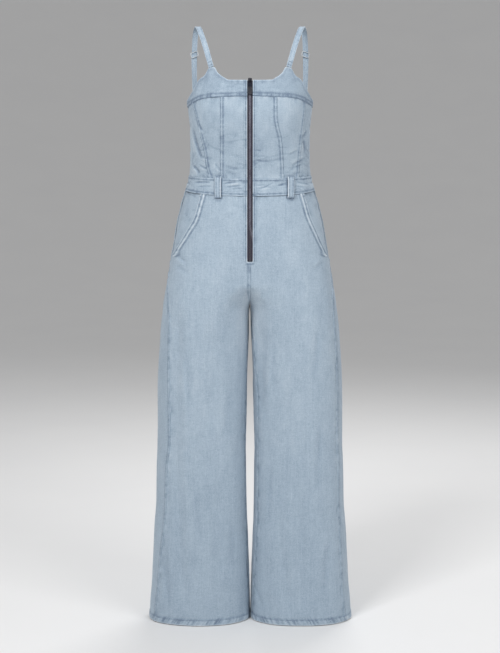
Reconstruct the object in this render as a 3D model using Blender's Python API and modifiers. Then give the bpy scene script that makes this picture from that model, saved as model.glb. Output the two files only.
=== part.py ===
# Bustier jumpsuit in denim, in its worn and hollow form.
# Metres, +Z up. The origin is where the shoulders hold the straps, the front faces -Y, and +X is to
# the right of someone who looks at the front.

import functools
import math

import bmesh
import bpy
import numpy as np
from mathutils import Matrix, Vector

COLLECTION_NAME = "bustier_jumpsuit"

# Cloth
DENIM = 0.0014
BAND_THICKNESS = 0.0020
WAISTBAND_THICKNESS = 0.0024
LOOP_THICKNESS = 0.0018
FACING_THICKNESS = 0.0012
HEM_THICKNESS = 0.0028
SEAM_GAP = 0.0003
HALF_GAP = SEAM_GAP / 2
FACING_CLEARANCE = 0.0009
BAND_LIFT = 0.0004
WAISTBAND_LIFT = 0.0006
MEAN_RADIUS = 0.125

# Mesh
BODICE_ROWS = 9
BAND_ROWS = 3
WAISTBAND_ROWS = 2
EDGE_SHARE = 0.010
LENGTH_STEPS = 48
ROW_SPLIT = 0.0008

# Heights, all below the top of the straps
CROTCH = -0.668
RISE_START = -0.596
RISE_SHARPNESS = 1.8
HEM = -1.440
HEM_WIDTH = 0.0150
POCKET_END = -0.5450
FACING_END = -0.5560
FACING_UNDERLAP = 0.020
LEG_LEVEL_TOP = -0.392
LEG_LEVEL_BLEND = -0.440
TOP_EDGE_LEVEL = -0.130
BAND_SEAM_LEVEL = -0.165
WAIST_TOP_FRONT = -0.3570
WAIST_TOP_SIDE = -0.3535
WAIST_BOTTOM_FRONT = -0.3940
WAIST_BOTTOM_SIDE = -0.3848
WAIST_DIP_SHARPNESS = 1.5

# Level sections of the trunk and, below the crotch, of each leg. Leg middle is where the front of a
# leg stands out most, measured from the middle of the body, and leg gap is half the space between legs.
SECTION_COLUMNS = ("height", "half_width", "front", "back", "fullness", "leg_middle", "leg_gap")
SECTIONS = (
    (-0.090, 0.1460, 0.1010, 0.0780, 2.30, 0.0, 0.0),
    (-0.130, 0.1480, 0.1120, 0.0820, 2.35, 0.0, 0.0),
    (-0.170, 0.1492, 0.1185, 0.0860, 2.40, 0.0, 0.0),
    (-0.200, 0.1472, 0.1210, 0.0880, 2.45, 0.0, 0.0),
    (-0.222, 0.1447, 0.1200, 0.0890, 2.45, 0.0, 0.0),
    (-0.245, 0.1431, 0.1165, 0.0890, 2.40, 0.0, 0.0),
    (-0.290, 0.1428, 0.1080, 0.0880, 2.30, 0.0, 0.0),
    (-0.330, 0.1437, 0.1010, 0.0865, 2.25, 0.0, 0.0),
    (-0.355, 0.1460, 0.0985, 0.0870, 2.25, 0.0, 0.0),
    (-0.386, 0.1539, 0.1010, 0.0950, 2.25, 0.0, 0.0),
    (-0.410, 0.1612, 0.1040, 0.1020, 2.25, 0.0, 0.0),
    (-0.458, 0.1735, 0.1085, 0.1150, 2.20, 0.0, 0.0),
    (-0.507, 0.1822, 0.1110, 0.1235, 2.20, 0.0100, 0.0),
    (-0.555, 0.1910, 0.1120, 0.1270, 2.20, 0.0310, 0.0),
    (-0.604, 0.1997, 0.1115, 0.1250, 2.20, 0.0560, 0.0),
    (-0.652, 0.2085, 0.1095, 0.1200, 2.20, 0.0800, 0.0000),
    (-0.700, 0.2135, 0.1070, 0.1145, 2.20, 0.0980, 0.0024),
    (-0.750, 0.2177, 0.1040, 0.1095, 2.20, 0.1080, 0.0038),
    (-0.850, 0.2230, 0.0990, 0.1025, 2.20, 0.1150, 0.0073),
    (-0.950, 0.2240, 0.0955, 0.0990, 2.20, 0.1170, 0.0098),
    (-1.000, 0.2253, 0.0940, 0.0975, 2.20, 0.1180, 0.0108),
    (-1.050, 0.2283, 0.0930, 0.0965, 2.20, 0.1190, 0.0098),
    (-1.150, 0.2305, 0.0915, 0.0950, 2.20, 0.1195, 0.0086),
    (-1.200, 0.2345, 0.0910, 0.0945, 2.20, 0.1210, 0.0073),
    (-1.275, 0.2386, 0.0900, 0.0935, 2.20, 0.1220, 0.0049),
    (-1.350, 0.2424, 0.0895, 0.0925, 2.20, 0.1225, 0.0024),
    (-1.400, 0.2470, 0.0890, 0.0920, 2.20, 0.1240, 0.0013),
    (-1.440, 0.2495, 0.0885, 0.0915, 2.20, 0.1250, 0.0010),
)

# Top edge of the bustier's front: level across the middle, up to the strap, and down to the armhole
TOP_EDGE_COLUMNS = ("across", "height")
TOP_EDGE = (
    (0.0000, -0.1266),
    (0.0500, -0.1256),
    (0.0600, -0.1204),
    (0.0700, -0.1136),
    (0.0770, -0.1060),
    (0.0805, -0.0985),
    (0.0835, -0.0962),
    (0.0970, -0.0998),
    (0.1010, -0.1075),
    (0.1074, -0.1168),
    (0.1174, -0.1236),
    (0.1234, -0.1316),
    (0.1295, -0.1443),
    (0.1389, -0.1581),
    (0.1466, -0.1705),
    (0.1492, -0.1735),
)

# Top edge of the bustier's back, in degrees round from the middle of the front: armhole at the side, a
# little higher where the strap ends, and level across the back
BACK_TOP_COLUMNS = ("turn", "height")
BACK_TOP = (
    (90.0, -0.1735),
    (112.0, -0.1660),
    (135.0, -0.1600),
    (180.0, -0.1670),
)

# Seam under the top band
BAND_SEAM_COLUMNS = ("across", "height")
BAND_SEAM = (
    (0.0000, -0.1593),
    (0.0654, -0.1617),
    (0.0959, -0.1634),
    (0.1173, -0.1680),
    (0.1295, -0.1734),
    (0.1421, -0.1805),
    (0.1492, -0.1860),
)

# Upright seams of the bustier's front, as distances from the middle
UPRIGHT_COLUMNS = ("height", "princess_left", "princess_right", "side_left", "side_right")
UPRIGHT_SEAMS = (
    (-0.1600, 0.0659, 0.0599, 0.1345, 0.1300),
    (-0.1850, 0.0660, 0.0599, 0.1310, 0.1275),
    (-0.2070, 0.0661, 0.0599, 0.1245, 0.1253),
    (-0.2350, 0.0662, 0.0640, 0.1180, 0.1220),
    (-0.2580, 0.0662, 0.0700, 0.1130, 0.1192),
    (-0.2910, 0.0664, 0.0734, 0.1050, 0.1160),
    (-0.3240, 0.0666, 0.0755, 0.1005, 0.1138),
    (-0.3560, 0.0667, 0.0768, 0.0920, 0.1118),
)

# Slant edge of each pocket, in degrees round from the middle of the front to the side seam
POCKET_COLUMNS = ("height", "left", "right")
POCKET_EDGES = (
    (-0.3900, 46.0, 53.0),
    (-0.4435, 48.7, 55.6),
    (-0.4810, 56.9, 62.0),
    (-0.5120, 66.4, 68.5),
    (-0.5326, 76.0, 76.0),
    (-0.5450, 90.0, 90.0),
)

# How far each outseam has rolled round to the front, in from the leg's outer edge
OUTSEAM_COLUMNS = ("height", "left", "right")
OUTSEAM_ROLL = (
    (-0.5600, 0.0000, 0.0000),
    (-0.6000, 0.0020, 0.0015),
    (-0.6464, 0.0119, 0.0080),
    (-0.7164, 0.0223, 0.0120),
    (-0.9836, 0.0304, 0.0140),
    (-1.0600, 0.0276, 0.0148),
    (-1.2078, 0.0255, 0.0170),
    (-1.2717, 0.0208, 0.0176),
    (-1.3865, 0.0175, 0.0176),
    (-1.4400, 0.0165, 0.0176),
)

# The largest folds: soft troughs with a straight middle line, on the front (-1) or the back (1)
FOLD_COLUMNS = ("face", "top_across", "top_height", "low_across", "low_height", "half_width", "depth")
FOLDS = (
    (-1, -0.1700, -0.630, -0.1790, -1.060, 0.0150, 0.0055),
    (-1, -0.1790, -0.960, -0.1660, -1.425, 0.0160, 0.0060),
    (-1, -0.0930, -0.690, -0.0900, -0.980, 0.0180, 0.0030),
    (-1, -0.0800, -1.080, -0.0740, -1.330, 0.0170, 0.0035),
    (-1, 0.0290, -0.690, 0.0240, -0.930, 0.0110, 0.0055),
    (-1, 0.0970, -0.850, 0.0640, -1.240, 0.0160, 0.0045),
    (-1, 0.0640, -1.160, 0.0960, -1.420, 0.0150, 0.0050),
    (-1, 0.1000, -1.030, 0.1310, -1.430, 0.0160, 0.0045),
    (1, -0.1500, -0.600, -0.0500, -0.690, 0.0200, 0.0060),
    (1, 0.1450, -0.590, 0.0550, -0.700, 0.0210, 0.0055),
    (1, -0.0800, -0.760, -0.1000, -1.250, 0.0190, 0.0050),
    (1, -0.1550, -0.900, -0.1500, -1.425, 0.0180, 0.0055),
    (1, 0.0900, -0.800, 0.0780, -1.180, 0.0180, 0.0050),
    (1, 0.1650, -0.700, 0.1500, -1.300, 0.0190, 0.0055),
    (1, 0.0850, -1.120, 0.1150, -1.430, 0.0170, 0.0045),
)
FOLD_FADE = 0.22

# Shoulder straps
STRAP_WIDTH = 0.0128
STRAP_THICKNESS = 0.0016
STRAP_COLUMNS = ("across", "depth", "height")
STRAP_PATH = (
    (0.0904, -0.0848, -0.0968),
    (0.0925, -0.0815, -0.0890),
    (0.0975, -0.0715, -0.0720),
    (0.1030, -0.0590, -0.0530),
    (0.1090, -0.0450, -0.0345),
    (0.1155, -0.0290, -0.0170),
    (0.1210, -0.0120, -0.0038),
    (0.1243, 0.0025, 0.0000),
    (0.1275, 0.0150, -0.0055),
    (0.1305, 0.0245, -0.0190),
    (0.1325, 0.0325, -0.0420),
    (0.1336, 0.0385, -0.0700),
    (0.1340, 0.0430, -0.1050),
    (0.1338, 0.0455, -0.1350),
    (0.1330, 0.0462, -0.1590),
)
STRAP_START_TWIST = math.radians(24)
STRAP_START_SHARE = 0.30
STRAP_END_TWIST = math.radians(38)
STRAP_END_SHARE = 0.38
STRAP_ROWS = 40
DOUBLING_ROWS = 16
SLIDE_HEIGHT = -0.0630
SLIDE_WIDTH = 0.0178
SLIDE_LENGTH = 0.0125
SLIDE_BAR = 0.0013
SLIDE_WINDOW = 0.0152
DOUBLING_SHIFT = 0.0008

# Zip
ZIP_OPENING = 0.0112
ZIP_BOTTOM = -0.5497
CHAIN_WIDTH = 0.0056
CHAIN_THICKNESS = 0.0026
CHAIN_LIFT = -0.0013
TAPE_THICKNESS = 0.0010
TAPE_LIFT = WAISTBAND_LIFT - WAISTBAND_THICKNESS - SEAM_GAP
TAPE_INNER = 0.0032
TAPE_OUTER = 0.0145
TAPE_RUN_ON = 0.0120
TAPE_TOP_GAP = 0.0004
STOP_LENGTH = 0.0034
STOP_TOP_RISE = 0.0042
LEAST_ROW = 0.0020
SLIDER_HEIGHT = -0.1275
SLIDER_WIDTH = 0.0088
SLIDER_LENGTH = 0.0120
SLIDER_PLATE = 0.0011
SLIDER_WEDGE = 0.0034
BRIDGE_WIDTH = 0.0020
BRIDGE_REACH = 0.0038
BRIDGE_RISE = 0.0037
BRIDGE_BAR = 0.0009
PIN_RISE = 0.0014
TAB_LENGTH = 0.0340
TAB_NECK_WIDTH = 0.0074
TAB_END_WIDTH = 0.0104
TAB_THICKNESS = 0.0012
TAB_EYE_WIDTH = 0.0040
TAB_EYE_LENGTH = 0.0056

# Belt loops, over the waistband
LOOP_WIDTH = 0.0140
LOOP_TOP = -0.3495
LOOP_BOTTOM = -0.4016
LOOP_CLEARANCE = 0.0035
LOOP_COLUMNS = ("name", "across", "face")
LOOPS = (
    ("belt_loop_front_left", -0.0740, -1),
    ("belt_loop_front_right", 0.0946, -1),
    ("belt_loop_back_left", -0.0860, 1),
    ("belt_loop_back_centre", 0.0000, 1),
    ("belt_loop_back_right", 0.0860, 1),
)

# Colours, roughness and metallic value
DENIM_COLOUR = (0.40, 0.50, 0.60)
ZIP_COLOUR = (0.075, 0.068, 0.078)
METAL_COLOUR = (0.10, 0.095, 0.10)
SLIDE_COLOUR = (0.55, 0.58, 0.60)
CLOTH_ROUGHNESS = 0.85
METAL_ROUGHNESS = 0.35
CHAIN_ROUGHNESS = 0.45
METAL_SHARE = 0.9


def column(table, columns, name):
    place = columns.index(name)
    return [row[place] for row in table]


def smooth(at, places, values):
    """Cubic through the values that never swings past them."""
    order = np.argsort(places)
    places = np.asarray(places, float)[order]
    values = np.asarray(values, float)[order]
    steps = np.diff(places)
    slopes = np.diff(values) / steps
    tangents = np.zeros_like(values)
    tangents[0] = slopes[0]
    tangents[-1] = slopes[-1]
    for k in range(1, len(values) - 1):
        if slopes[k - 1] * slopes[k] > 0:
            before = 2 * steps[k] + steps[k - 1]
            after = steps[k] + 2 * steps[k - 1]
            tangents[k] = (before + after) / (before / slopes[k - 1] + after / slopes[k])
    at = min(max(at, places[0]), places[-1])
    k = min(max(int(np.searchsorted(places, at)) - 1, 0), len(steps) - 1)
    t = (at - places[k]) / steps[k]
    start = values[k] * (1 + 2 * t) * (1 - t) ** 2 + tangents[k] * steps[k] * t * (1 - t) ** 2
    end = values[k + 1] * t * t * (3 - 2 * t) + tangents[k + 1] * steps[k] * t * t * (t - 1)
    return float(start + end)


def reading(table, columns, key, name, at):
    return smooth(at, column(table, columns, key), column(table, columns, name))


@functools.lru_cache(maxsize=None)
def section(name, height):
    return reading(SECTIONS, SECTION_COLUMNS, "height", name, height)


def mix(first, second, share):
    return first + (second - first) * share


def fade(share):
    share = min(max(share, 0.0), 1.0)
    return share * share * (3 - 2 * share)


@functools.lru_cache(maxsize=None)
def ring(height):
    """Middle, outer half width and inner half width of a leg's ring. Above the crotch the inner part
    of the ring is cut off by the middle seam, which curves under like a quarter of an ellipse."""
    width = section("half_width", height)
    middle = section("leg_middle", height)
    if height <= CROTCH:
        return middle, width - middle, middle - section("leg_gap", height)
    if height >= RISE_START:
        return middle, width - middle, width
    fall = (RISE_START - height) / (RISE_START - CROTCH)
    cut = 1 - (1 - fall) ** RISE_SHARPNESS
    return middle, width - middle, min((middle - section("leg_gap", height)) / cut, width)


def across_share(across, height):
    """How far a place lies from the ring's middle, as a share of that side's half width."""
    middle, outer, inner = ring(height)
    return (across - middle) / (outer if across > middle else inner)


def fold_depth(across, depth, height):
    total = 0.0
    for row in FOLDS:
        fold = dict(zip(FOLD_COLUMNS, row))
        if fold["face"] * depth < 0:
            continue
        line = Vector((fold["low_across"] - fold["top_across"], fold["low_height"] - fold["top_height"]))
        place = Vector((across - fold["top_across"], height - fold["top_height"]))
        along = place.dot(line) / line.length_squared
        off = (place - line * along).length
        ends = fade(along / FOLD_FADE) * fade((1 - along) / FOLD_FADE)
        total += fold["depth"] * ends * math.exp(-((off / fold["half_width"]) ** 2))
    return total


def fullness_gap(across, depth, height):
    """Zero on the cloth's outer face, negative inside it, positive outside."""
    power = section("fullness", height)
    reach = section("front", height) if depth < 0 else section("back", height)
    return abs(across_share(across, height)) ** power + abs(depth / reach) ** power - 1


def outward(across, depth, height):
    step = 0.0002
    slope = Vector((
        fullness_gap(across + step, depth, height) - fullness_gap(across - step, depth, height),
        fullness_gap(across, depth + step, height) - fullness_gap(across, depth - step, height),
        fullness_gap(across, depth, height + step) - fullness_gap(across, depth, height - step),
    ))
    return slope.normalized()


def cloth_point(side, height, turn, lift=0.0):
    """A point of the cloth. Turn is 0 in front, 90 degrees at the outer side and 180 at the back."""
    middle, outer, inner = ring(height)
    power = 2 / section("fullness", height)
    sine = math.sin(turn)
    cosine = math.cos(turn)
    across = middle + (outer if sine > 0 else inner) * math.copysign(abs(sine) ** power, sine)
    reach = -section("front", height) if cosine > 0 else section("back", height)
    depth = reach * abs(cosine) ** power
    normal = outward(across, depth, height)
    point = Vector((across, depth, height)) + normal * (lift - fold_depth(side * across, depth, height))
    return Vector((side * point.x, point.y, point.z))


def turn_at(height, across):
    """The turn in front at a distance from the middle, which may lie past the ring's own middle."""
    share = min(max(across_share(across, height), -1.0), 1.0)
    return math.asin(math.copysign(abs(share) ** (section("fullness", height) / 2), share))


def edge_shift(distance=HALF_GAP):
    """The turn that moves a point of the trunk sideways by a small distance."""
    return distance / MEAN_RADIUS


def top_edge_height(turn, height):
    across = cloth_point(1, height, turn).x
    return reading(TOP_EDGE, TOP_EDGE_COLUMNS, "across", "height", across)


def band_seam_height(turn, height):
    across = cloth_point(1, height, turn).x
    return reading(BAND_SEAM, BAND_SEAM_COLUMNS, "across", "height", across)


def back_top_height(turn):
    mirrored = turn if turn <= math.pi else 2 * math.pi - turn
    return reading(BACK_TOP, BACK_TOP_COLUMNS, "turn", "height", math.degrees(mirrored))


def waist_seam(front_height, side_height, turn):
    """A waist seam that dips towards the middle of the front and is level from the sides back."""
    return mix(side_height, front_height, max(math.cos(turn), 0.0) ** WAIST_DIP_SHARPNESS)


def waist_top(turn):
    return waist_seam(WAIST_TOP_FRONT, WAIST_TOP_SIDE, turn)


def waist_bottom(turn):
    return waist_seam(WAIST_BOTTOM_FRONT, WAIST_BOTTOM_SIDE, turn)


def clear_scene():
    for thing in list(bpy.data.objects):
        bpy.data.objects.remove(thing, do_unlink=True)


def new_collection(name):
    collection = bpy.data.collections.new(name)
    bpy.context.scene.collection.children.link(collection)
    return collection


def finish(thing, colour, roughness, metallic=0.0):
    material = bpy.data.materials.new(thing.name)
    material.use_nodes = True
    shader = material.node_tree.nodes["Principled BSDF"]
    shader.inputs["Base Color"].default_value = (*colour, 1.0)
    shader.inputs["Roughness"].default_value = roughness
    shader.inputs["Metallic"].default_value = metallic
    thing.data.materials.clear()
    thing.data.materials.append(material)


def add_object(name, mesh, collection):
    thing = bpy.data.objects.new(name, mesh)
    collection.objects.link(thing)
    return thing


def add_sheet(name, rows, thickness, collection, shares=None):
    """A cloth shell: rows of points from the lowest up, each from left to right seen from outside."""
    shape = bmesh.new()
    points = [[shape.verts.new(point) for point in row] for row in rows]
    for low, high in zip(points, points[1:]):
        for k in range(len(low) - 1):
            shape.faces.new((low[k], low[k + 1], high[k + 1], high[k]))
    mesh = bpy.data.meshes.new(name)
    shape.to_mesh(mesh)
    shape.free()
    mesh.shade_smooth()
    thing = add_object(name, mesh, collection)
    solid = thing.modifiers.new("Thickness", "SOLIDIFY")
    solid.thickness = thickness
    solid.offset = -1.0
    if shares:
        group = thing.vertex_groups.new(name="layers")
        width = len(rows[0])
        for k, share in enumerate(shares):
            group.add(list(range(k * width, (k + 1) * width)), share, "REPLACE")
        solid.vertex_group = group.name
    return thing


def column_shares(columns):
    """Even columns with a narrow one at each edge, so that neighbouring edges stay parallel."""
    inner = columns - 2
    spread = [mix(EDGE_SHARE, 1 - EDGE_SHARE, k / inner) for k in range(inner + 1)]
    return [0.0] + spread + [1.0]


def even_turns(height, turn_from, turn_to, shares):
    """Turns that divide a level stretch of the ring into the given shares of its length."""
    turns = [mix(turn_from, turn_to, k / LENGTH_STEPS) for k in range(LENGTH_STEPS + 1)]
    points = [cloth_point(1, height, turn) for turn in turns]
    steps = [(second - first).length for first, second in zip(points, points[1:])]
    lengths = np.concatenate(([0.0], np.cumsum(steps)))
    return np.interp(np.array(shares) * lengths[-1], lengths, turns)


def panel_rows(side, levels, columns, turn_from, turn_to, height_at, lift=None):
    """Rows of a panel between two upright edges, each edge a function of the height."""
    shares = column_shares(columns)
    rows = []
    for level in levels:
        middle_height = height_at(level, math.pi / 4)
        turns = even_turns(middle_height, turn_from(middle_height), turn_to(middle_height), shares)
        row = []
        for turn in turns:
            height = height_at(level, turn)
            for _ in range(4):
                along = (turn - turns[0]) / (turns[-1] - turns[0])
                turn_here = mix(turn_from(height), turn_to(height), along)
                height = height_at(level, turn_here)
            rise = lift(height, turn_here) if lift else 0.0
            row.append(cloth_point(side, height, turn_here, rise))
        rows.append(row if side > 0 else row[::-1])
    return rows


def even_levels(count):
    return [k / count for k in range(count + 1)]


def seam_turn(name, shift):
    """An upright seam of the bustier's front, moved sideways for the gap between its panels."""
    def turn(height):
        return turn_at(height, reading(UPRIGHT_SEAMS, UPRIGHT_COLUMNS, "height", name, height)) + shift
    return turn


def zip_edge_turn(height):
    return turn_at(height, ZIP_OPENING / 2)


def side_turn(shift):
    return lambda height: math.pi / 2 + shift


def bodice_height(level, turn):
    low = waist_top(turn) + HALF_GAP
    high = band_seam_height(turn, BAND_SEAM_LEVEL) - HALF_GAP
    return mix(low, high, level)


def band_height(level, turn):
    low = band_seam_height(turn, BAND_SEAM_LEVEL) + HALF_GAP
    height = TOP_EDGE_LEVEL
    for _ in range(4):
        height = top_edge_height(turn, height)
    return mix(low, height, level)


def back_height(level, turn):
    return mix(waist_top(turn) + HALF_GAP, back_top_height(turn), level)


def waistband_height(level, turn):
    return mix(waist_bottom(turn) + HALF_GAP, waist_top(turn) - HALF_GAP, level)


def constant_lift(lift):
    return lambda height, turn: lift


def build_bodice(collection):
    for side, word in ((-1, "left"), (1, "right")):
        edges = (
            ("centre_front", zip_edge_turn, seam_turn("princess_" + word, -edge_shift()), 6),
            ("side_front", seam_turn("princess_" + word, edge_shift()),
             seam_turn("side_" + word, -edge_shift()), 6),
            ("side_panel", seam_turn("side_" + word, edge_shift()), side_turn(-edge_shift()), 9),
        )
        for piece, turn_from, turn_to, columns in edges:
            rows = panel_rows(side, even_levels(BODICE_ROWS), columns, turn_from, turn_to, bodice_height)
            thing = add_sheet(piece + "_" + word, rows, DENIM, collection)
            finish(thing, DENIM_COLOUR, CLOTH_ROUGHNESS)
        rows = panel_rows(side, even_levels(BAND_ROWS), 22, zip_edge_turn, side_turn(-edge_shift()),
                          band_height, constant_lift(BAND_LIFT))
        thing = add_sheet("top_band_" + word, rows, BAND_THICKNESS, collection)
        finish(thing, DENIM_COLOUR, CLOTH_ROUGHNESS)
    rows = panel_rows(1, even_levels(7), 20, side_turn(edge_shift()),
                      side_turn(math.pi - edge_shift()), back_height)
    thing = add_sheet("back_bodice", rows, DENIM, collection)
    finish(thing, DENIM_COLOUR, CLOTH_ROUGHNESS)


def build_waistband(collection):
    pieces = (
        ("waistband_front_left", -1, zip_edge_turn, side_turn(-edge_shift()), 12),
        ("waistband_front_right", 1, zip_edge_turn, side_turn(-edge_shift()), 12),
        ("waistband_back", 1, side_turn(edge_shift()), side_turn(math.pi - edge_shift()), 24),
    )
    for name, side, turn_from, turn_to, columns in pieces:
        rows = panel_rows(side, even_levels(WAISTBAND_ROWS), columns, turn_from, turn_to,
                          waistband_height, constant_lift(WAISTBAND_LIFT))
        thing = add_sheet(name, rows, WAISTBAND_THICKNESS, collection)
        finish(thing, DENIM_COLOUR, CLOTH_ROUGHNESS)


def leg_levels(pocket=True):
    """Levels of a leg panel, from the hem up, closest together where the rise curves under."""
    hem_top = HEM + HEM_WIDTH
    levels = [HEM, hem_top - ROW_SPLIT, hem_top + ROW_SPLIT]
    levels += list(np.linspace(-1.370, -0.740, 12))
    levels += [-0.695, CROTCH, -0.6630, -0.6570, -0.6480, -0.6360, -0.6200, RISE_START, -0.577]
    levels += [ZIP_BOTTOM - ROW_SPLIT, ZIP_BOTTOM + ROW_SPLIT]
    if pocket:
        levels += [POCKET_END, -0.5428, -0.5390, -0.5320, -0.5220]
    levels += [-0.508, -0.487, -0.463, LEG_LEVEL_BLEND, -0.416, LEG_LEVEL_TOP]
    return levels


def leg_height(level, turn):
    if level <= LEG_LEVEL_BLEND:
        return level
    share = (level - LEG_LEVEL_BLEND) / (LEG_LEVEL_TOP - LEG_LEVEL_BLEND)
    return mix(LEG_LEVEL_BLEND, waist_bottom(turn) - HALF_GAP, share)


def rise_turn(height):
    """The middle seam of the front and back, which ends as the inseam below the crotch."""
    if height <= CROTCH:
        return edge_shift() - math.pi / 2
    return turn_at(height, HALF_GAP)


def front_middle_turn(height):
    return zip_edge_turn(height) if height > ZIP_BOTTOM else rise_turn(height)


def back_middle_turn(height):
    return math.pi - rise_turn(height)


def outseam_turn(word, height):
    roll = reading(OUTSEAM_ROLL, OUTSEAM_COLUMNS, "height", word, height)
    return turn_at(height, section("half_width", height) - roll)


def pocket_turn(word, height):
    if height <= POCKET_END:
        return math.pi / 2
    return math.radians(reading(POCKET_EDGES, POCKET_COLUMNS, "height", word, height))


def front_outer_turn(word):
    def turn(height):
        if height > POCKET_END:
            return min(pocket_turn(word, height), math.pi / 2 - edge_shift())
        return outseam_turn(word, height) - edge_shift()
    return turn


def back_outer_turn(word):
    return lambda height: outseam_turn(word, height) + edge_shift()


def hem_shares(levels):
    top = HEM + HEM_WIDTH
    return [1.0 if level < top else DENIM / HEM_THICKNESS for level in levels]


def build_legs(collection):
    for side, word in ((-1, "left"), (1, "right")):
        pieces = (
            ("leg_front_", front_middle_turn, front_outer_turn(word), 18, leg_levels()),
            ("leg_back_", back_outer_turn(word), back_middle_turn, 16, leg_levels(pocket=False)),
        )
        for piece, turn_from, turn_to, columns, levels in pieces:
            rows = panel_rows(side, levels, columns, turn_from, turn_to, leg_height)
            thing = add_sheet(piece + word, rows, HEM_THICKNESS, collection, hem_shares(levels))
            finish(thing, DENIM_COLOUR, CLOTH_ROUGHNESS)


def build_pocket_facings(collection):
    """The cloth seen past each slant edge, which runs on a little way behind the front."""
    levels = [FACING_END] + [level for level in leg_levels() if level > FACING_END + SEAM_GAP]
    for side, word in ((-1, "left"), (1, "right")):
        def turn_from(height):
            return pocket_turn(word, height) - FACING_UNDERLAP / MEAN_RADIUS

        rows = panel_rows(side, levels, 8, turn_from, side_turn(-edge_shift()), leg_height,
                          constant_lift(-(DENIM + FACING_CLEARANCE)))
        thing = add_sheet("pocket_facing_" + word, rows, FACING_THICKNESS, collection)
        finish(thing, DENIM_COLOUR, CLOTH_ROUGHNESS)


def build_belt_loops(collection):
    reach = LOOP_CLEARANCE + WAISTBAND_LIFT
    for row in LOOPS:
        loop = dict(zip(LOOP_COLUMNS, row))
        side = -1 if loop["across"] < 0 else 1
        rows = []
        for k in range(13):
            share = k / 12
            height = mix(LOOP_BOTTOM, LOOP_TOP, share)
            gap = SEAM_GAP + reach * (1 - abs(2 * share - 1) ** 5)
            ends = []
            for edge in (-LOOP_WIDTH / 2, 0.0, LOOP_WIDTH / 2):
                across = abs(loop["across"]) + edge
                turn = turn_at(height, across)
                turn = turn if loop["face"] < 0 else math.pi - turn
                ends.append(cloth_point(side, height, turn, gap + LOOP_THICKNESS))
            rows.append(ends if side * loop["face"] < 0 else ends[::-1])
        thing = add_sheet(loop["name"], rows, LOOP_THICKNESS, collection)
        finish(thing, DENIM_COLOUR, CLOTH_ROUGHNESS)


def strap_frame(side, distance):
    """Place, width and outward directions of a strap at a distance along its path."""
    nodes = [Vector(row) for row in STRAP_PATH]
    lengths = [0.0]
    for first, second in zip(nodes, nodes[1:]):
        lengths.append(lengths[-1] + (second - first).length)

    def place(at):
        return Vector([smooth(at, lengths, column(STRAP_PATH, STRAP_COLUMNS, name))
                       for name in STRAP_COLUMNS])

    step = 0.0005
    share = distance / lengths[-1]
    here = place(distance)
    forward = (place(min(distance + step, lengths[-1])) - place(max(distance - step, 0.0))).normalized()
    twist = STRAP_END_TWIST * fade((share - 1) / STRAP_END_SHARE + 1)
    flat = Vector((math.cos(twist), -math.sin(twist), 0.0))
    first_twist = STRAP_START_TWIST * (1 - fade(share / STRAP_START_SHARE))
    flat = Matrix.Rotation(first_twist, 3, "Z") @ flat
    across = (flat - forward * flat.dot(forward)).normalized()
    out = across.cross(forward)
    turn_over = Matrix.Diagonal((side, 1, 1))
    return turn_over @ here, turn_over @ across, turn_over @ out, lengths[-1]


def slide_distance():
    """Distance along the strap to the slide, on the strap's way down the back."""
    total = strap_frame(1, 0.0)[3]
    low = total / 2
    high = total
    for _ in range(40):
        middle = (low + high) / 2
        if strap_frame(1, middle)[0].z > SLIDE_HEIGHT:
            low = middle
        else:
            high = middle
    return low


def strap_rows(side, start, end, count, lift, shift=0.0):
    rows = []
    for k in range(count + 1):
        place, across, out, total = strap_frame(side, mix(start, end, k / count))
        edges = (-STRAP_WIDTH / 2 + shift, STRAP_WIDTH / 2 + shift)
        row = [place + across * edge + out * lift for edge in edges]
        rows.append(row if side > 0 else row[::-1])
    return rows


def slide_box(shape, low, high):
    size = Vector(high) - Vector(low)
    middle = (Vector(high) + Vector(low)) / 2
    placing = Matrix.Translation(middle) @ Matrix.Diagonal((*size, 1.0))
    bmesh.ops.create_cube(shape, size=1.0, matrix=placing)


def box_object(name, low, high, collection):
    shape = bmesh.new()
    slide_box(shape, low, high)
    mesh = bpy.data.meshes.new(name)
    shape.to_mesh(mesh)
    shape.free()
    return add_object(name, mesh, collection)


def join_boxes(name, boxes, collection, cutters):
    """One solid from overlapping boxes. The first is the object and the rest are joined to it."""
    thing = box_object(name, *boxes[0], collection)
    for k, (low, high) in enumerate(boxes[1:]):
        other = box_object(name + "_piece_" + str(k), low, high, cutters)
        other.hide_render = True
        other.display_type = "WIRE"
        union = thing.modifiers.new("Join " + str(k), "BOOLEAN")
        union.operation = "UNION"
        union.solver = "EXACT"
        union.object = other
    return thing


def build_straps(collection, cutters):
    slide_at = slide_distance()
    for side, word in ((-1, "left"), (1, "right")):
        total = strap_frame(side, 0.0)[3]
        rows = strap_rows(side, 0.0, total, STRAP_ROWS, STRAP_THICKNESS / 2)
        strap = add_sheet("strap_" + word, rows, STRAP_THICKNESS, collection)
        finish(strap, DENIM_COLOUR, CLOTH_ROUGHNESS)
        inner = -STRAP_THICKNESS / 2 - SEAM_GAP
        start = slide_at + SLIDE_BAR / 2 + SEAM_GAP
        rows = strap_rows(side, start, total, DOUBLING_ROWS, inner, DOUBLING_SHIFT)
        doubling = add_sheet("strap_doubling_" + word, rows, STRAP_THICKNESS, collection)
        finish(doubling, DENIM_COLOUR, CLOTH_ROUGHNESS)
        build_slide(side, word, slide_at, collection, cutters)


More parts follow.
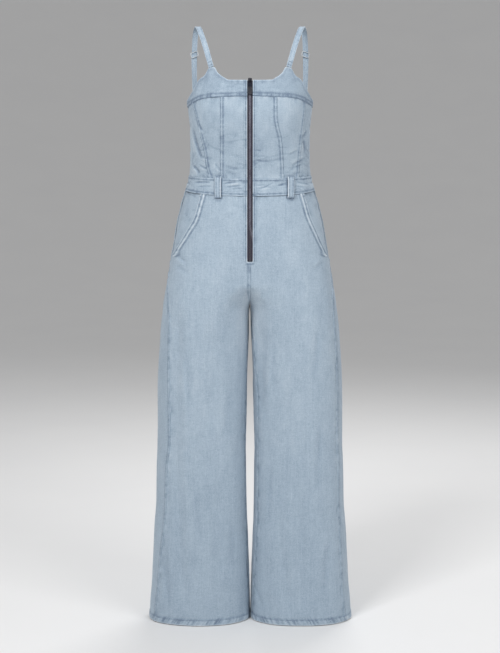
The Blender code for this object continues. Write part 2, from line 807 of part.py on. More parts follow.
def build_slide(side, word, slide_at, collection, cutters):
    """A slide: two rails, bars over the strap at both ends, and a bar behind it in the middle."""
    outer = STRAP_THICKNESS / 2 + SEAM_GAP
    inner = -outer
    half_length = SLIDE_LENGTH / 2
    half_width = SLIDE_WIDTH / 2
    bite = 0.0001
    rail_in = SLIDE_WINDOW / 2
    boxes = [((-half_width, -half_length, inner - SLIDE_BAR), (-rail_in, half_length, outer + SLIDE_BAR))]
    boxes.append(((rail_in, -half_length, inner - SLIDE_BAR), (half_width, half_length, outer + SLIDE_BAR)))
    bar_low = -half_width + bite
    bar_high = half_width - bite
    for end in (-1, 1):
        edges = sorted((end * (half_length - bite), end * (half_length - SLIDE_BAR)))
        boxes.append(((bar_low, edges[0], outer), (bar_high, edges[1], outer + SLIDE_BAR - bite)))
    boxes.append(((bar_low, -SLIDE_BAR / 2, inner - SLIDE_BAR + bite), (bar_high, SLIDE_BAR / 2, inner)))
    boxes = [boxes[2], boxes[0], boxes[1], boxes[3], boxes[4]]
    slide = join_boxes("strap_slide_" + word, boxes, collection, cutters)
    place, across, out, _ = strap_frame(side, slide_at)
    forward = out.cross(across)
    frame = Matrix((across, forward, out)).transposed().to_4x4()
    placing = Matrix.Translation(place) @ frame
    for thing in [slide] + [piece for piece in cutters.objects if piece.name.startswith(slide.name)]:
        thing.matrix_world = placing
    finish(slide, SLIDE_COLOUR, CHAIN_ROUGHNESS)


def zip_row(height, edges, lift):
    return [cloth_point(1 if edge > 0 else -1, height, turn_at(height, abs(edge)), lift) for edge in edges]


def zip_heights(top, bottom):
    """The heights of the rows of every panel beside the zip, so that the zip bends where they do."""
    heights = [leg_height(level, 0.0) for level in leg_levels()]
    heights += [waistband_height(level, 0.0) for level in even_levels(WAISTBAND_ROWS)]
    heights += [bodice_height(level, 0.0) for level in even_levels(BODICE_ROWS)]
    heights += [band_height(level, 0.0) for level in even_levels(BAND_ROWS)]
    inside = sorted(height for height in heights if bottom < height < top)
    apart = [bottom]
    for height in inside + [top]:
        if height - apart[-1] > LEAST_ROW:
            apart.append(height)
    apart[-1] = top
    return apart


def build_zip(collection, cutters):
    tape_top = reading(TOP_EDGE, TOP_EDGE_COLUMNS, "across", "height", TAPE_INNER) - TAPE_TOP_GAP
    tape_bottom = ZIP_BOTTOM - TAPE_RUN_ON
    heights = zip_heights(tape_top, tape_bottom)
    for side, word in ((-1, "left"), (1, "right")):
        edges = (side * TAPE_INNER, side * TAPE_OUTER)
        rows = [zip_row(height, sorted(edges), TAPE_LIFT) for height in heights]
        tape = add_sheet("zip_tape_" + word, rows, TAPE_THICKNESS, collection)
        finish(tape, ZIP_COLOUR, CLOTH_ROUGHNESS)
    slider_top = SLIDER_HEIGHT + SLIDER_LENGTH / 2
    chain_top = slider_top - SLIDER_WEDGE - SEAM_GAP
    chain_bottom = ZIP_BOTTOM + STOP_TOP_RISE + SEAM_GAP
    half = CHAIN_WIDTH / 2
    rows = [zip_row(height, (-half, half), CHAIN_LIFT) for height in zip_heights(chain_top, chain_bottom)]
    chain = add_sheet("zip_chain", rows, CHAIN_THICKNESS, collection)
    finish(chain, METAL_COLOUR, CHAIN_ROUGHNESS, METAL_SHARE)
    stop_top = chain_bottom - SEAM_GAP
    rows = [zip_row(height, (-half, half), CHAIN_LIFT) for height in (stop_top - STOP_LENGTH, stop_top)]
    stop = add_sheet("zip_bottom_stop", rows, CHAIN_THICKNESS, collection)
    finish(stop, METAL_COLOUR, CHAIN_ROUGHNESS, METAL_SHARE)
    build_slider(collection, cutters)


def flat_shape(name, outlines, thickness, collection):
    """A flat plate from closed outlines: the first is its edge and the others are its holes."""
    curve = bpy.data.curves.new(name, "CURVE")
    curve.dimensions = "2D"
    curve.fill_mode = "BOTH"
    curve.extrude = thickness / 2
    for outline in outlines:
        spline = curve.splines.new("POLY")
        spline.points.add(len(outline) - 1)
        for point, (x, y) in zip(spline.points, outline):
            point.co = (x, y, 0.0, 1.0)
        spline.use_cyclic_u = True
    guide = bpy.data.objects.new(name + "_outline", curve)
    collection.objects.link(guide)
    graph = bpy.context.evaluated_depsgraph_get()
    mesh = bpy.data.meshes.new_from_object(guide.evaluated_get(graph))
    bpy.data.objects.remove(guide, do_unlink=True)
    shape = bmesh.new()
    shape.from_mesh(mesh)
    bmesh.ops.remove_doubles(shape, verts=shape.verts, dist=0.000001)
    bmesh.ops.recalc_face_normals(shape, faces=shape.faces)
    shape.to_mesh(mesh)
    shape.free()
    return add_object(name, mesh, collection)


def slider_outline():
    """The slider's side view: two plates joined by the wedge at the top. First the place along the
    zip, up, and then the rise off the cloth's outer face."""
    half = SLIDER_LENGTH / 2
    inner_top = CHAIN_LIFT + SEAM_GAP
    outer_top = inner_top + SLIDER_PLATE
    inner_low = CHAIN_LIFT - CHAIN_THICKNESS - SEAM_GAP
    outer_low = inner_low - SLIDER_PLATE
    wedge = half - SLIDER_WEDGE
    return [(-half, outer_low), (half, outer_low), (half, outer_top), (-half, outer_top),
            (-half, inner_top), (wedge, inner_top), (wedge, inner_low), (-half, inner_low)]


def bridge_outline():
    """The arch on the slider that the pull tab hangs from."""
    face = slider_outline()[2][1]
    sink = 0.0003
    reach = BRIDGE_REACH
    inner = reach - BRIDGE_BAR
    shoulder = 0.0010
    top = face + BRIDGE_RISE
    under = top - BRIDGE_BAR
    return [(-reach, face - sink), (-reach, top - shoulder), (-reach + shoulder, top),
            (reach - shoulder, top), (reach, top - shoulder), (reach, face - sink),
            (inner, face - sink), (inner, under - shoulder / 2), (inner - shoulder / 2, under),
            (-inner + shoulder / 2, under), (-inner, under - shoulder / 2), (-inner, face - sink)]


def round_end(half_width, start, end, count):
    """Points of a rounded lower end, from the right side to the left."""
    points = []
    for k in range(count + 1):
        angle = math.pi * k / count
        points.append((half_width * math.cos(angle), start - (start - end) * math.sin(angle)))
    return points


def tab_outlines():
    """The pull tab hanging down from its pin, which is the bar above its eye."""
    bar_half = TAB_THICKNESS / 2
    neck = TAB_NECK_WIDTH / 2
    end = TAB_END_WIDTH / 2
    corner = 0.0010
    edge = [(-neck + corner, bar_half), (neck - corner, bar_half), (neck, bar_half - corner)]
    edge = edge[::-1]
    eye_low = -bar_half - TAB_EYE_LENGTH
    left = [(-neck, eye_low - 0.0035), (-end, eye_low - 0.0075)]
    right = [(end, eye_low - 0.0075), (neck, eye_low - 0.0035)]
    low = round_end(end, -TAB_LENGTH + 0.0045, -TAB_LENGTH, 8)
    outer = edge + [(-neck, bar_half - corner)] + left + low[::-1] + right
    eye = TAB_EYE_WIDTH / 2
    hole = [(-eye, -bar_half), (eye, -bar_half), (eye, eye_low + corner), (eye - corner, eye_low),
            (-eye + corner, eye_low), (-eye, eye_low + corner)]
    return [outer, hole]


def build_slider(collection, cutters):
    """The slider stands square to the cloth, and the tab turns on a pin that runs across."""
    here = cloth_point(1, SLIDER_HEIGHT, 0.0)
    out = outward(0.0, here.y, SLIDER_HEIGHT)
    up = out.cross(Vector((1, 0, 0)))
    if up.z < 0:
        up = -up
    across = up.cross(out)
    frame = Matrix((up, out, across)).transposed().to_4x4()
    placing = Matrix.Translation(here) @ frame
    slider = flat_shape("zip_slider", [slider_outline()], SLIDER_WIDTH, collection)
    bridge = flat_shape("zip_slider_bridge", [bridge_outline()], BRIDGE_WIDTH, cutters)
    bridge.hide_render = True
    bridge.display_type = "WIRE"
    union = slider.modifiers.new("Bridge", "BOOLEAN")
    union.operation = "UNION"
    union.solver = "EXACT"
    union.object = bridge
    slider.matrix_world = placing
    bridge.matrix_world = placing
    finish(slider, METAL_COLOUR, METAL_ROUGHNESS, METAL_SHARE)

    pin_rise = slider_outline()[2][1] + PIN_RISE
    hinge = bpy.data.objects.new("pull_tab_hinge", None)
    collection.objects.link(hinge)
    hinge.location = here + out * pin_rise
    tab = flat_shape("zip_pull_tab", tab_outlines(), TAB_THICKNESS, collection)
    tab.parent = hinge
    right = Vector((1, 0, 0))
    tab_frame = Matrix((right, up, out)).transposed()
    tab.rotation_euler = tab_frame.to_euler()
    finish(tab, METAL_COLOUR, METAL_ROUGHNESS, METAL_SHARE)


def main():
    clear_scene()
    collection = new_collection(COLLECTION_NAME)
    cutters = new_collection("cutters")
    build_bodice(collection)
    build_waistband(collection)
    build_legs(collection)
    build_pocket_facings(collection)
    build_belt_loops(collection)
    build_straps(collection, cutters)
    build_zip(collection, cutters)


main()
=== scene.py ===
# Bustier jumpsuit in light washed denim: the look of every piece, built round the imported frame.
# Metres, +Z up, the front faces -Y. A turn is 0 in front, a quarter at the outer side, a half at the back.
import math

import bpy
import numpy as np
from mathutils import Matrix, Vector


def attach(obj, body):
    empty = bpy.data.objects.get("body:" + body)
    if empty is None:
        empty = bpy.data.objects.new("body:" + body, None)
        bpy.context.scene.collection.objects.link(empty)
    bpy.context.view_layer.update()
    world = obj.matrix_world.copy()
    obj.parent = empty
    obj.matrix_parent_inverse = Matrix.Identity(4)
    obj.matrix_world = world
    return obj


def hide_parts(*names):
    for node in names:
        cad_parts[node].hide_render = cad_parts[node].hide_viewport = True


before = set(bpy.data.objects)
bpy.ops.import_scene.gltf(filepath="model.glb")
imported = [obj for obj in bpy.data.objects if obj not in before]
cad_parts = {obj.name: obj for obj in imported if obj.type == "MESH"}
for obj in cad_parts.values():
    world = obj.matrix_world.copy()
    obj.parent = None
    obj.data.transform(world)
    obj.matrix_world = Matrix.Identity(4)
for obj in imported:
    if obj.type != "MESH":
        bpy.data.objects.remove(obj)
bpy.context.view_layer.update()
print("frame loaded:", len(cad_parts), "nodes")

millimetre = 0.001
halfTurn = math.pi
quarterTurn = math.pi / 2
sides = ((-1, "left"), (1, "right"))  # left and right as someone sees them who looks at the front


def inMetres(*rows):
    # a table written in millimetres
    return np.array(rows, float) * millimetre


def smoothAt(at, places, values):
    # cubic through the values that never swings past them
    order = np.argsort(places)
    places = np.asarray(places, float)[order]
    values = np.asarray(values, float)[order]
    steps = np.diff(places)
    slopes = np.diff(values) / steps
    tangents = np.zeros_like(values)
    tangents[0] = slopes[0]
    tangents[-1] = slopes[-1]
    for k in range(1, len(values) - 1):
        if slopes[k - 1] * slopes[k] > 0:
            before = 2 * steps[k] + steps[k - 1]
            after = steps[k] + 2 * steps[k - 1]
            tangents[k] = (before + after) / (before / slopes[k - 1] + after / slopes[k])
    at = np.clip(np.asarray(at, float), places[0], places[-1])
    k = np.clip(np.searchsorted(places, at) - 1, 0, len(steps) - 1)
    t = (at - places[k]) / steps[k]
    start = values[k] * (1 + 2 * t) * (1 - t) ** 2 + tangents[k] * steps[k] * t * (1 - t) ** 2
    end = values[k + 1] * t * t * (3 - 2 * t) + tangents[k + 1] * steps[k] * t * t * (t - 1)
    return start + end


def mix(first, second, share):
    return first + (second - first) * share


def fade(share):
    share = np.clip(share, 0.0, 1.0)
    return share * share * (3 - 2 * share)


def bump(off, width):
    return np.exp(-((off / width) ** 2))


def lineNoise(at, spacing, seed, count=4096):
    # uneven waves along a line, about -1 to 1
    values = np.random.default_rng(seed).uniform(-1, 1, count)
    at = np.asarray(at) / spacing + count / 8
    low = np.floor(at).astype(int)
    return mix(values[low % count], values[(low + 1) % count], fade(at - low))


def fieldNoise(across, up, acrossSize, upSize, seed, count=256):
    # soft unevenness over a surface, about -1 to 1
    values = np.random.default_rng(seed).uniform(-1, 1, (count, count))
    x = across / acrossSize + count / 2
    y = up / upSize + count / 2
    lowX = np.floor(x).astype(int)
    lowY = np.floor(y).astype(int)
    low, high = (mix(values[lowX % count, row % count], values[(lowX + 1) % count, row % count],
                     fade(x - lowX)) for row in (lowY, lowY + 1))
    return mix(low, high, fade(y - lowY))


def lineShares(place, height, line):
    # how far along a line, as a share of it, how far off it, and its length
    lineX, lineZ = line[2] - line[0], line[3] - line[1]
    length = math.hypot(lineX, lineZ)
    x, z = place - line[0], height - line[1]
    return (x * lineX + z * lineZ) / length ** 2, (x * lineZ - z * lineX) / length, length


# the body of the garment has the same form as the solids; all its lengths are in millimetres
bodyNames = ("height", "halfWidth", "front", "back", "fullness", "legMiddle", "legGap")
bodyRows = inMetres(
    (-90, 146, 101, 78, 2.3, 0, 0), (-130, 148, 112, 82, 2.35, 0, 0), (-170, 149.2, 118.5, 86, 2.4, 0, 0),
    (-200, 147.2, 121, 88, 2.45, 0, 0), (-222, 144.7, 120, 89, 2.45, 0, 0),
    (-245, 143.1, 116.5, 89, 2.4, 0, 0), (-290, 142.8, 108, 88, 2.3, 0, 0),
    (-330, 143.7, 101, 86.5, 2.25, 0, 0), (-355, 146, 98.5, 87, 2.25, 0, 0),
    (-386, 153.9, 101, 95, 2.25, 0, 0), (-410, 161.2, 104, 102, 2.25, 0, 0),
    (-458, 173.5, 108.5, 115, 2.2, 0, 0), (-507, 182.2, 111, 123.5, 2.2, 10, 0),
    (-555, 191, 112, 127, 2.2, 31, 0), (-604, 199.7, 111.5, 125, 2.2, 56, 0),
    (-652, 208.5, 109.5, 120, 2.2, 80, 0), (-700, 213.5, 107, 114.5, 2.2, 98, 2.4),
    (-750, 217.7, 104, 109.5, 2.2, 108, 3.8), (-850, 223, 99, 102.5, 2.2, 115, 7.3),
    (-950, 224, 95.5, 99, 2.2, 117, 9.8), (-1000, 225.3, 94, 97.5, 2.2, 118, 10.8),
    (-1050, 228.3, 93, 96.5, 2.2, 119, 9.8), (-1150, 230.5, 91.5, 95, 2.2, 119.5, 8.6),
    (-1200, 234.5, 91, 94.5, 2.2, 121, 7.3), (-1275, 238.6, 90, 93.5, 2.2, 122, 4.9),
    (-1350, 242.4, 89.5, 92.5, 2.2, 122.5, 2.4), (-1400, 247, 89, 92, 2.2, 124, 1.3),
    (-1440, 249.5, 88.5, 91.5, 2.2, 125, 1),
)
bodyRows[:, bodyNames.index("fullness")] /= millimetre  # a plain number, not a length

# top edge of the front: level in the middle, up to the strap, and down to the armhole
topEdge = inMetres(
    (0, -126.6), (50, -125.6), (60, -120.4), (70, -113.6), (77, -106), (80.5, -98.5), (83.5, -96.2),
    (97, -99.8), (101, -107.5), (107.4, -116.8), (117.4, -123.6), (123.4, -131.6), (129.5, -144.3),
    (138.9, -158.1), (146.6, -170.5), (149.2, -173.5),
)
backTop = ((90.0, -0.1735), (112.0, -0.1660), (135.0, -0.1600), (180.0, -0.1670))  # degrees and metres
bandSeam = inMetres(
    (0, -159.3), (65.4, -161.7), (95.9, -163.4), (117.3, -168), (129.5, -173.4), (142.1, -180.5),
    (149.2, -186),
)

# seams as height, left and right of the photographed front
seamNames = ("height", "left", "right")
princessSeams = inMetres(
    (-160, 65.9, 59.9), (-185, 66, 59.9), (-207, 66.1, 59.9), (-235, 66.2, 64), (-258, 66.2, 70),
    (-291, 66.4, 73.4), (-324, 66.6, 75.5), (-356, 66.7, 76.8),
)
sideSeams = inMetres(
    (-160, 134.5, 130), (-185, 131, 127.5), (-207, 124.5, 125.3), (-235, 118, 122), (-258, 113, 119.2),
    (-291, 105, 116), (-324, 100.5, 113.8), (-356, 92, 111.8),
)
pocketEdges = np.array((  # metres and degrees
    (-0.3900, 46.0, 53.0), (-0.4435, 48.7, 55.6), (-0.4810, 56.9, 62.0), (-0.5120, 66.4, 68.5),
    (-0.5326, 76.0, 76.0), (-0.5450, 90.0, 90.0),
))
# how far the side and inside leg seams have rolled round to the front
outseamRoll = inMetres(
    (-560, 0, 0), (-600, 2, 1.5), (-646.4, 11.9, 8), (-716.4, 22.3, 12), (-983.6, 30.4, 14),
    (-1060, 27.6, 14.8), (-1207.8, 25.5, 17), (-1271.7, 20.8, 17.6), (-1386.5, 17.5, 17.6),
    (-1440, 16.5, 17.6),
)
inseamRoll = inMetres(
    (-660, 0, 0), (-760, 0.8, 4), (-920, 1.5, 9.5), (-1150, 2, 10.5), (-1300, 2, 8.5), (-1440, 1, 4),
)
levels = {
    "crotch": -0.668, "riseStart": -0.596, "riseSharpness": 1.8, "hem": -1.440, "zipBottom": -0.5497,
    "pocketEnd": -0.5450, "legBlend": -0.440, "legTop": -0.392, "topEdge": -0.130, "bandSeam": -0.165,
    "waistTopFront": -0.3570, "waistTopSide": -0.3535, "waistBottomFront": -0.3940,
    "waistBottomSide": -0.3848, "waistDip": 1.5, "aboveLegs": -0.380, "belowHem": -1.50,
}
# the largest folds, the same as in the solids, on the front (-1) and the back (1): across and height at the
# top, across and height at the low end, half width and depth
mainFolds = {
    -1: inMetres(
        (-170, -630, -179, -1060, 15, 5.5), (-179, -960, -166, -1425, 16, 6),
        (-93, -690, -90, -980, 18, 3), (-80, -1080, -74, -1330, 17, 3.5), (29, -690, 24, -930, 11, 5.5),
        (97, -850, 64, -1240, 16, 4.5), (64, -1160, 96, -1420, 15, 5), (100, -1030, 131, -1430, 16, 4.5),
    ),
    1: inMetres(
        (-150, -600, -50, -690, 20, 6), (145, -590, 55, -700, 21, 5.5), (-80, -760, -100, -1250, 19, 5),
        (-155, -900, -150, -1425, 18, 5.5), (90, -800, 78, -1180, 18, 5),
        (165, -700, 150, -1300, 19, 5.5), (85, -1120, 115, -1430, 17, 4.5),
    ),
}
foldFade = 0.22
sectionHeights = np.linspace(-1.450, -0.085, 2731)
sectionValues = {name: smoothAt(sectionHeights, bodyRows[:, 0], bodyRows[:, k])
                 for k, name in enumerate(bodyNames)}


def section(name, height):
    return np.interp(height, sectionHeights, sectionValues[name])


def ringOf(height):
    # middle, outer half width and inner half width; the inner part is cut off at the rise
    width = section("halfWidth", height)
    middle = section("legMiddle", height)
    fall = np.clip((levels["riseStart"] - height) / (levels["riseStart"] - levels["crotch"]), 1e-6, 1.0)
    cut = 1 - (1 - fall) ** levels["riseSharpness"]
    inner = np.minimum((middle - section("legGap", height)) / cut, width)
    return middle, width - middle, np.where(height >= levels["riseStart"], width, inner)


def shareAcross(across, height):
    middle, outer, inner = ringOf(height)
    return (across - middle) / np.where(across > middle, outer, inner)


def skinGap(across, depth, height):
    reach = np.where(depth < 0, section("front", height), section("back", height))
    power = section("fullness", height)
    return np.abs(shareAcross(across, height)) ** power + np.abs(depth / reach) ** power - 1


def skinNormal(across, depth, height, step=0.0002):
    slope = np.stack([
        skinGap(across + step, depth, height) - skinGap(across - step, depth, height),
        skinGap(across, depth + step, height) - skinGap(across, depth - step, height),
        skinGap(across, depth, height + step) - skinGap(across, depth, height - step),
    ], axis=-1)
    return slope / np.linalg.norm(slope, axis=-1, keepdims=True)


def skinPlace(height, turn):
    middle, outer, inner = ringOf(height)
    power = 2 / section("fullness", height)
    sine = np.sin(turn)
    cosine = np.cos(turn)
    across = middle + np.where(sine > 0, outer, inner) * np.sign(sine) * np.abs(sine) ** power
    reach = np.where(cosine > 0, -section("front", height), section("back", height))
    return across, reach * np.abs(cosine) ** power


def foldDepth(across, depth, height):
    total = np.zeros_like(across)
    for face, folds in mainFolds.items():
        for fold in folds:
            along, off, _ = lineShares(across, height, fold)
            halfWidth, amount = fold[4:]
            ends = fade(along / foldFade) * fade((1 - along) / foldFade)
            total += np.where(face * depth < 0, 0.0, amount * ends * bump(off, halfWidth))
    return total


def clothPlace(side, height, turn, lift=0.0):
    # points and outward directions; the left side is the right one mirrored, with its own folds
    across, depth = skinPlace(height, turn)
    normal = skinNormal(across, depth, height)
    rise = lift - foldDepth(side * across, depth, height)
    points = np.stack([across, depth, height + 0 * across], axis=-1) + normal * np.asarray(rise)[..., None]
    flip = np.array([side, 1.0, 1.0])
    return points * flip, normal * flip


def turnAt(height, across):
    share = np.clip(shareAcross(across, height), -1.0, 1.0)
    return np.arcsin(np.sign(share) * np.abs(share) ** (section("fullness", height) / 2))


def edgeTurn(distance, trunkRadius=0.125):
    return distance / trunkRadius  # a turn that moves a point of the trunk sideways by a small distance


seamGap = edgeTurn(0.00015)


def bandSeamHeight(turn):
    return smoothAt(skinPlace(np.full_like(turn, levels["bandSeam"]), turn)[0], *bandSeam.T)


def topEdgeHeight(turn):
    height = np.full_like(turn, levels["topEdge"])
    for _ in range(4):
        height = smoothAt(skinPlace(height, turn)[0], *topEdge.T)
    return height


def backTopHeight(turn):
    mirrored = np.where(turn <= halfTurn, turn, 2 * halfTurn - turn)
    return smoothAt(np.degrees(mirrored), *zip(*backTop))


def waistSeam(name, turn):
    dip = np.clip(np.cos(turn), 0.0, 1.0) ** levels["waistDip"]
    return mix(levels[name + "Side"], levels[name + "Front"], dip)


def seamAt(rows, word, height):
    return smoothAt(height, rows[:, 0], rows[:, seamNames.index(word)])


def outseamTurn(word, height):
    return turnAt(height, section("halfWidth", height) - seamAt(outseamRoll, word, height))


def inseamTurn(word, height):
    return turnAt(height, section("legGap", height) + seamAt(inseamRoll, word, height))


def pocketTurn(word, height):
    turn = np.radians(seamAt(pocketEdges, word, height))
    return np.where(height <= levels["pocketEnd"], quarterTurn, turn)


# creases pressed and worn into the cloth, in millimetres: across and height where it
# starts and ends, its bow, width and depth. On the side, across is the place from front to back.
bodiceCreases = {
    "front": inMetres(
        (-137.1, -230.5, -109.2, -319.7, 3, 4.2, 2.2), (-137.6, -324.4, -118.7, -346.8, -2, 3.4, 2.2),
        (-121, -322.3, -97.8, -333.7, 2, 3, 1.3), (-82.3, -318.5, -66, -339.4, 1, 3.2, 0.8),
        (11, -269, 26, -266, 0, 2, 0.5), (11, -288, 27.5, -290.3, 0, 2.2, 0.8),
        (11, -304.2, 40, -301, 1, 2.2, 0.7), (11, -311, 30, -313, 1, 1.8, 0.5),
        (11, -318.2, 52, -313.5, -1, 2.2, 0.7), (-12, -286, -30, -283, 1, 1.8, 0.4),
        (-12, -323, -34, -319, 1, 2, 0.5), (-129, -208, -105, -250, 3, 3, 0.9),
        (-118, -302, -90, -310, 2, 2.4, 0.8), (129, -321, 90, -338, 2, 2.6, 0.9),
        (118, -285, 85, -301, -2, 2.6, 0.6), (135.9, -242.1, 124.2, -262, 1, 4, 1.4),
        (123.9, -261.8, 129.7, -299.7, -2, 4, 1.4), (-52, -296, -18, -305, 1, 3.5, 0.6),
        (-60, -324, -25, -333, 2, 3.2, 0.7), (133, -308, 96, -329, 2, 3.6, 1.1),
    ),
    "side": inMetres(
        (-50, -225, 40, -250, 3, 5, 1.2), (-35, -290, 55, -305, -4, 4.5, 1.5),
        (-20, -325, 50, -333, 2, 4, 1.2),
    ),
    "back": inMetres(
        (-115, -255, -30, -285, 4, 6, 1.4), (120, -270, 25, -299, -5, 6, 1.6),
        (-105, -306, 10, -320, 4, 5, 1.7), (108, -321, 20, -334, -3, 4.5, 1.4),
        (-70, -337, 55, -342, 3, 4, 1.1),
    ),
}
waistCreases = {
    "front": inMetres(
        (12, -370, 38, -369, 1, 1.6, 0.7), (13, -379, 52, -374, -1, 1.6, 0.6),
        (-12, -377, -48, -380, 1, 1.6, 0.6), (-85, -373, -130, -376, 1, 1.6, 0.6),
        (104, -373, 136, -376, 1, 1.6, 0.6), (15.9, -381.5, 58.1, -362.8, 1, 1.8, 0.8),
        (-23.9, -362.8, -66.1, -367.5, 1, 2.4, 1), (-18, -370, -62, -374, -1, 2.4, 0.8),
        (-90, -364, -135, -366, 1, 2.6, 1), (62, -371, 90, -366, 1, 2.4, 0.8),
        (108, -363, 142, -370, 1, 2.6, 1),
    ),
    "side": inMetres(
        (-50, -368, 35, -365, 1, 2.8, 1),
    ),
    "back": inMetres(
        (-115, -368, -25, -371, 1, 2.8, 1.1), (15, -365, 105, -372, -1, 2.8, 1.1),
    ),
}
legCreases = {
    "front": inMetres(
        (-178.5, -532.1, -148, -555.5, 2, 5, 1.4), (-180, -560, -135, -580, 3, 6, 1.1),
        (182, -550, 142, -572, -3, 6, 1.2), (-14, -595, -70, -564, 4, 7, 0.4),
        (14, -605, 76, -576, -4, 7.5, 0.4), (18, -635, 66, -620, -3, 6.5, 0.4),
        (-18, -628, -78, -612, 3, 6.5, 0.4), (-25, -435, -65, -450, 2, 5, 0.7),
        (30, -430, 70, -448, -2, 5, 0.7), (12.9, -1349.6, 33.5, -1404.6, 1, 5, 1.8),
        (-150, -760, -142, -910, 4, 9, 1.2), (-50, -840, -62, -990, -3, 9, 1),
        (-126, -1060, -118, -1250, 4, 8.5, 1.3), (-38, -1150, -45, -1330, 3, 8.5, 1.1),
        (160, -690, 150, -840, -4, 9, 1.3), (60, -730, 56, -860, 3, 8.5, 1.2),
        (175, -930, 162, -1120, 4, 9, 1.4), (45, -1030, 42, -1200, -3, 8, 1.2),
        (195, -1210, 180, -1390, 3, 9, 1.4), (-205, -1240, -196, -1400, 3, 8.5, 1.3),
    ),
    "side": inMetres(
        (-30, -620, 40, -760, 6, 10, 1.6), (35, -800, 10, -1050, 6, 11, 1.8),
        (-30, -950, -20, -1220, -5, 10, 1.5), (25, -1180, 35, -1405, 5, 10, 1.7),
    ),
    "back": inMetres(
        (-15, -610, -90, -570, 6, 8.5, 2), (15, -620, 98, -585, -6, 9, 2.1),
        (-20, -650, -115, -655, 8, 9, 2.2), (20, -662, 120, -660, -7, 8.5, 2),
        (-60, -930, -125, -905, 4, 8.5, 1.6), (65, -950, 130, -930, -4, 8.5, 1.5),
        (-125, -1080, -133, -1300, 5, 10, 1.6), (50, -1020, 43, -1240, 4, 10, 1.6),
        (140, -1150, 152, -1360, -4, 10, 1.5), (-45, -1200, -38, -1390, 3, 9, 1.4),
    ),
}
creaseForm = {
    "endFade": 0.3, "least": 0.78, "uneven": 0.34, "unevenSize": 0.011, "strength": 1.3,
    "trough": 0.8, "ridge": 0.45, "ridgePlace": 1.6, "ridgeWidth": 1.2, "seedScale": 1e4,
    "seedRounding": 1e-6,
}


def creaseRelief(points, normals, creases):
    # each crease is a narrow trough with a softer ridge beside it
    form = creaseForm
    across, depth, height = np.moveaxis(points, -1, 0)
    facing = {
        "front": fade((-normals[..., 1] - 0.15) / 0.35),
        "back": fade((normals[..., 1] - 0.15) / 0.35),
        "side": fade((np.abs(normals[..., 0]) - 0.45) / 0.35),
    }
    total = np.zeros_like(across)
    for face, rows in creases.items():
        for row in rows:
            along, off, length = lineShares(depth if face == "side" else across, height, row)
            bow, width, amount = row[4:]
            off = off - bow * 4 * along * (1 - along)
            ends = fade(along / form["endFade"]) * fade((1 - along) / form["endFade"]) * facing[face]
            seed = int(form["seedScale"] * length + form["seedRounding"])  # each length has its own seed
            uneven = lineNoise(along * length, form["unevenSize"], seed)
            shape = form["ridge"] * bump(off - form["ridgePlace"] * width, form["ridgeWidth"] * width) \
                - bump(off, form["trough"] * width)
            total += form["strength"] * amount * ends * (form["least"] + form["uneven"] * uneven) * shape
    return total


finishes = {
    "denim": {"middle": (0.375, 0.468, 0.560), "dark": (0.150, 0.205, 0.290), "pale": (0.68, 0.74, 0.79)},
    "inside": {"middle": (0.52, 0.57, 0.62), "dark": (0.30, 0.35, 0.41), "pale": (0.68, 0.72, 0.75)},
    "thread": {"middle": (0.36, 0.44, 0.53), "dark": (0.24, 0.31, 0.40)},
    "tape": {"middle": (0.050, 0.044, 0.064), "dark": (0.026, 0.022, 0.034)},
    "zipMetal": {"middle": (0.400, 0.395, 0.470), "dark": (0.160, 0.155, 0.200)},
    "tabMetal": {"middle": (0.063, 0.062, 0.071), "dark": (0.020, 0.020, 0.025)},
    "sliderMetal": {"middle": (0.028, 0.031, 0.046), "dark": (0.012, 0.013, 0.019)},
    "slideMetal": {"middle": (0.60, 0.64, 0.67), "dark": (0.40, 0.44, 0.48)},
}


